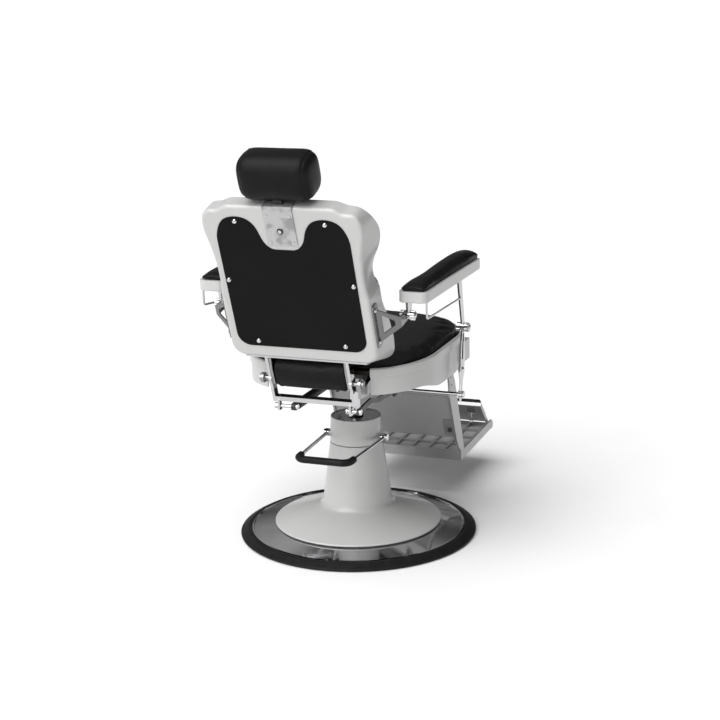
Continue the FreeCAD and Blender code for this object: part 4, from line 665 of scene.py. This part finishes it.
def sew_back():
    """A seam round the front of the back cushion, where the front cover meets the border."""
    obj = cushions["back_cushion"]
    half, low, high, corner = BACK_SEAM
    p = points_of(obj.data)
    distance = rounded_rectangle(p[:, 0], height_of(p), half, low, high, corner)
    crease(obj, np.where(depth_of(p) > 0.1, distance, 1), 0.0034, 0.0022)
    tree = surface(obj)
    outline = []
    reach = corner - BACK_STITCH_INSET
    left, top, bottom = half - corner, high - corner, low + corner
    for middle_x, middle_t, first in ((left, top, 0), (-left, top, 90), (-left, bottom, 180),
                                      (left, bottom, 270)):
        for i in range(19):
            angle = math.radians(first + 5 * i)
            outline.append((middle_x + reach * math.cos(angle), middle_t + reach * math.sin(angle)))
    outline.append(outline[0])
    spots = []
    for (x0, t0), (x1, t1) in zip(outline, outline[1:]):
        count = max(1, int(math.hypot(x1 - x0, t1 - t0) / 0.002))
        for i in range(count):
            x, t = x0 + (x1 - x0) * i / count, t0 + (t1 - t0) * i / count
            spots.append(drop_on(tree, back_point(x, 0.25, t), BACK_REAR))
    stitch_row("back_stitches", spots, "back")


sew_pillow()
sew_roll()
sew_arms()
sew_back()


# Hardware detail that the solids leave plain
# (x, t) of the screws in the back panel; t of the arm bracket screws; z of the leg screws
PANEL_SCREWS = ((0.1215, 0.002), (0.171, 0.184), (0.1215, 0.357))
BRACKET_SCREWS = (0.106, 0.012)
LEG_SCREWS = (-0.100, -0.127)
PANEL_SCREW_RADIUS, BRACKET_SCREW_RADIUS, LEG_SCREW_RADIUS = 0.0058, 0.0062, 0.0055
# depth of the panel's face; x of the faces of the arm brackets and of the legs
PANEL_FACE, BRACKET_FACE, LEG_FACE = -0.0043, 0.2122, 0.1918
# depth of the bracket screws; how far behind the legs' axis their screws sit
BRACKET_SCREW_DEPTH, LEG_SCREW_BACK = 0.017, 0.0165


def screw(name, centre, direction, radius, body):
    """A domed screw head with a cross recess."""
    steps, rings = 48, 14
    direction = Vector(direction).normalized()
    first, second = axes_for(direction)
    crown, slot, arm = radius * 0.42, radius * 0.16, radius * 0.62
    recess = radius * 0.3
    vertices, faces = [Vector(centre) + direction * (crown - recess)], []
    for ring in range(1, rings + 1):
        share = ring / rings
        for i in range(steps):
            angle = 2 * math.pi * i / steps
            u, v = radius * share * math.cos(angle), radius * share * math.sin(angle)
            height = crown * (1 - share ** 2.4)
            if (abs(u) < slot and abs(v) < arm) or (abs(v) < slot and abs(u) < arm):
                height -= recess
            vertices.append(Vector(centre) + first * u + second * v + direction * height)
    for i in range(steps):
        faces.append((0, 1 + i, 1 + (i + 1) % steps))
    for ring in range(rings - 1):
        for i in range(steps):
            j = (i + 1) % steps
            a, b = 1 + ring * steps, 1 + (ring + 1) * steps
            faces.append((a + i, b + i, b + j, a + j))
    rim = 1 + (rings - 1) * steps
    base = len(vertices)
    for i in range(steps):
        vertices.append(vertices[rim + i] - direction * radius * 0.25)
    for i in range(steps):
        j = (i + 1) % steps
        faces.append((rim + i, base + i, base + j, rim + j))
    faces.append(tuple(base + i for i in range(steps)))
    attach(mesh_object(name, vertices, faces, "chrome"), body)


def add_screws():
    for side, label in SIDES:
        for i, (x, t) in enumerate(PANEL_SCREWS):
            place = back_point(side * x, PANEL_FACE, t)
            screw(f"panel_screw_{label}_{i + 1}", place, BACK_REAR, PANEL_SCREW_RADIUS, "back")
        for i, t in enumerate(BRACKET_SCREWS):
            place = back_point(side * BRACKET_FACE, BRACKET_SCREW_DEPTH, t)
            screw(f"bracket_screw_{label}_{i + 1}", place, (side, 0, 0), BRACKET_SCREW_RADIUS, "back")
        for i, z in enumerate(LEG_SCREWS):
            place = leg_point(side * LEG_FACE, LEG_SCREW_BACK, z)
            screw(f"leg_screw_{label}_{i + 1}", place, (side, 0, 0), LEG_SCREW_RADIUS, "leg_rest")


# The leg rest's own frame: origin on its pivot, z up along the legs
LEG_Y, LEG_Z, LEG_TILT = -0.262, 0.490, math.radians(20.2)
LEG_REAR = Vector((0, math.cos(LEG_TILT), -math.sin(LEG_TILT)))
LEG_UP = Vector((0, math.sin(LEG_TILT), math.cos(LEG_TILT)))


def leg_point(x, y, z):
    return Vector((x, LEG_Y, LEG_Z)) + LEG_REAR * y + LEG_UP * z


KNOB_CAP_RADIUS = 0.0078
# y and z of the pin at the front of each arm
FRONT_PIN = (-0.115, 0.590)
# shares of a dome's radius and of its height
DOME_FORM = ((1, 0), (1, 0.25), (0.94, 0.34), (0.82, 0.58), (0.6, 0.82), (0.32, 0.96), (0.02, 1))


def dome(name, centre, direction, radius, height, body):
    """A domed cap with a small step at its foot."""
    profile = [(radius * across, height * along) for across, along in DOME_FORM]
    turned(name, profile, centre, direction, "chrome", body)


def add_knob_caps():
    """Domed centres on the outer faces of the hand knobs."""
    rear_low, rear_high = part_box("rear_pins")
    middle = (rear_low + rear_high) / 2
    rear_face, front_face = rear_high.x - 0.002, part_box("pillar_left")[1].x - 0.0002
    for side, label in SIDES:
        place = (side * rear_face, middle.y, middle.z)
        dome(f"rear_knob_cap_{label}", place, (side, 0, 0), KNOB_CAP_RADIUS, 0.0042, "back")
        place = (side * front_face, *FRONT_PIN)
        dome(f"front_knob_cap_{label}", place, (side, 0, 0), KNOB_CAP_RADIUS, 0.004, f"arm_pillar_{label}")


def slab(name, corners, thickness, outward, edge, finish):
    """A thin plate of the leg rest with softened edges; corners go round its outer face."""
    outward = Vector(outward).normalized()
    centre = sum((Vector(c) for c in corners), Vector()) / len(corners)
    vertices, faces = [], []
    count = len(corners)
    for lift, inset in ((-thickness, 0.0), (-edge, 0.0), (-0.3 * edge, 0.3 * edge), (0.0, edge)):
        for c in corners:
            towards = (centre - Vector(c)).normalized()
            vertices.append(Vector(c) + towards * inset * 1.4 + outward * lift)
    for row in range(3):
        for i in range(count):
            j = (i + 1) % count
            faces.append((row * count + i, row * count + j, (row + 1) * count + j, (row + 1) * count + i))
    faces.append(tuple(range(count - 1, -1, -1)))
    faces.append(tuple(range(3 * count, 4 * count)))
    obj = mesh_object(name, vertices, faces, finish)
    for polygon in obj.data.polygons:
        polygon.use_smooth = False
    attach(obj, "leg_rest")


# how far behind the legs' axis the keeper plate's face lies
KEEPER_FACE = 0.0388


def on_panel(x0, x1, low, high, face):
    """Corners of a rectangle that stands on the leg panel."""
    return [leg_point(x, face, z) for x, z in ((x0, low), (x1, low), (x1, high), (x0, high))]


def add_leg_plate():
    """Small bare keeper plate low on the leg panel, with a square stud."""
    corners = on_panel(-0.1855, -0.157, -0.296, -0.237, KEEPER_FACE)
    slab("keeper_plate", corners, 0.0022, LEG_REAR, 0.0006, "aluminium")
    corners = on_panel(-0.1825, -0.1685, -0.281, -0.264, KEEPER_FACE + 0.0026)
    slab("keeper_stud", corners, 0.003, LEG_REAR, 0.0008, "satin")


# The footrest's own frame: origin at its rear edge
FOOT_Y, FOOT_Z, FOOT_TILT = -0.378, 0.108, math.radians(-1.5)
FOOT_REAR = Vector((0, math.cos(FOOT_TILT), math.sin(FOOT_TILT)))
FOOT_UP = Vector((0, -math.sin(FOOT_TILT), math.cos(FOOT_TILT)))


def foot_point(x, y, z):
    return Vector((x, FOOT_Y, FOOT_Z)) + FOOT_REAR * y + FOOT_UP * z


# half width, front and rear of the sheet under the tread, and the height of its top
TREAD_FLOOR = (0.1855, -0.289, -0.0045)
TREAD_FLOOR_TOP = 0.0198


def add_tread_floor():
    """Thin sheet that closes the pockets of the footrest's tread from below."""
    half, front, rear = TREAD_FLOOR
    outline = ((-half, front), (half, front), (half, rear), (-half, rear))
    corners = [foot_point(x, y, TREAD_FLOOR_TOP) for x, y in outline]
    slab("tread_floor", corners, 0.0012, FOOT_UP, 0.0002, "panel_grey")


# depth and t of the headrest's button on the face of its bracket
BUTTON = (-0.0054, 0.3355)
BUTTON_RING = ((0.0052, 0), (0.0052, 0.0009), (0.0058, 0.0013), (0.0076, 0.0013), (0.0083, 0.0008),
               (0.0084, 0))


def add_button_ring():
    """Dark ring round the release button of the headrest."""
    turned("button_ring", BUTTON_RING, back_point(0, *BUTTON), BACK_REAR, "rubber", "back", ring=True)


add_screws()
add_knob_caps()
add_leg_plate()
add_tread_floor()
add_button_ring()


# Floor and light
FLOOR_REACH = 90
# tones of the studio surround, by the Z of the direction
SURROUND_LOW, SURROUND_HIGH = (0.0, 0.30), (0.9, 0.75)
SURROUND_BETWEEN = ((0.22, 0.24), (0.5, 0.38))


def make_stage():
    corners = [(-FLOOR_REACH, -FLOOR_REACH, 0), (FLOOR_REACH, -FLOOR_REACH, 0), (FLOOR_REACH, FLOOR_REACH, 0),
               (-FLOOR_REACH, FLOOR_REACH, 0)]
    floor = mesh_object("floor", corners, [(0, 1, 2, 3)], "enamel")
    f = Finish("pale_floor", Roughness=1.0, Specular_IOR_Level=0.0)
    f.link(f.blend(f.spread(f.noise(3), 0, 1), grey(0.90), grey(0.92)), "Base Color")
    floor.data.materials.clear()
    floor.data.materials.append(f.material)
    floor.location.z = -0.0005


def sun(name, azimuth, elevation, strength, spread):
    """A broad light; the azimuth turns from -Y towards +X, and angles are in degrees."""
    data = bpy.data.lights.new(name, "SUN")
    data.energy = strength
    data.angle = math.radians(spread)
    light = bpy.data.objects.new(name, data)
    scene.collection.objects.link(light)
    a, e = math.radians(azimuth), math.radians(elevation)
    towards = Vector((math.sin(a) * math.cos(e), -math.cos(a) * math.cos(e), math.sin(e)))
    light.rotation_euler = (-towards).to_track_quat("-Z", "Y").to_euler()


def make_light():
    """An uneven studio surround, brighter towards +X, that gives plated parts dark and light reflections."""
    world = bpy.data.worlds.new("studio")
    scene.world = world
    world.use_nodes = True
    tree = world.node_tree
    background = tree.nodes["Background"]
    towards = tree.nodes.new("ShaderNodeTexCoord").outputs["Generated"]
    split = tree.nodes.new("ShaderNodeSeparateXYZ")
    ramp = tree.nodes.new("ShaderNodeValToRGB")
    patches = tree.nodes.new("ShaderNodeTexNoise")
    patches.inputs["Scale"].default_value = 2.1
    patches.inputs["Detail"].default_value = 1.5
    strength = tree.nodes.new("ShaderNodeMath")
    strength.operation = "MULTIPLY"
    tree.links.new(towards, split.inputs[0])
    tree.links.new(towards, patches.inputs["Vector"])
    tree.links.new(split.outputs["Z"], ramp.inputs["Fac"])
    tree.links.new(map_range(tree, patches.outputs["Fac"], 0.03, 1.4, 0.40, 0.60), strength.inputs[0])
    tree.links.new(map_range(tree, split.outputs["X"], 0.4, 1.2, 0.0, 1.0), strength.inputs[1])
    tree.links.new(ramp.outputs["Color"], background.inputs["Color"])
    tree.links.new(strength.outputs["Value"], background.inputs["Strength"])
    stops = ramp.color_ramp.elements
    for stop, (position, tone) in zip(stops, (SURROUND_LOW, SURROUND_HIGH)):
        stop.position = position
        stop.color = (*grey(tone), 1)
    for position, tone in SURROUND_BETWEEN:
        stops.new(position).color = (*grey(tone), 1)
    sun("key", 158, 58, 3.1, 60)
    sun("low", 164, 14, 1.3, 50)
    scene.view_settings.view_transform = "Standard"


make_stage()
make_light()
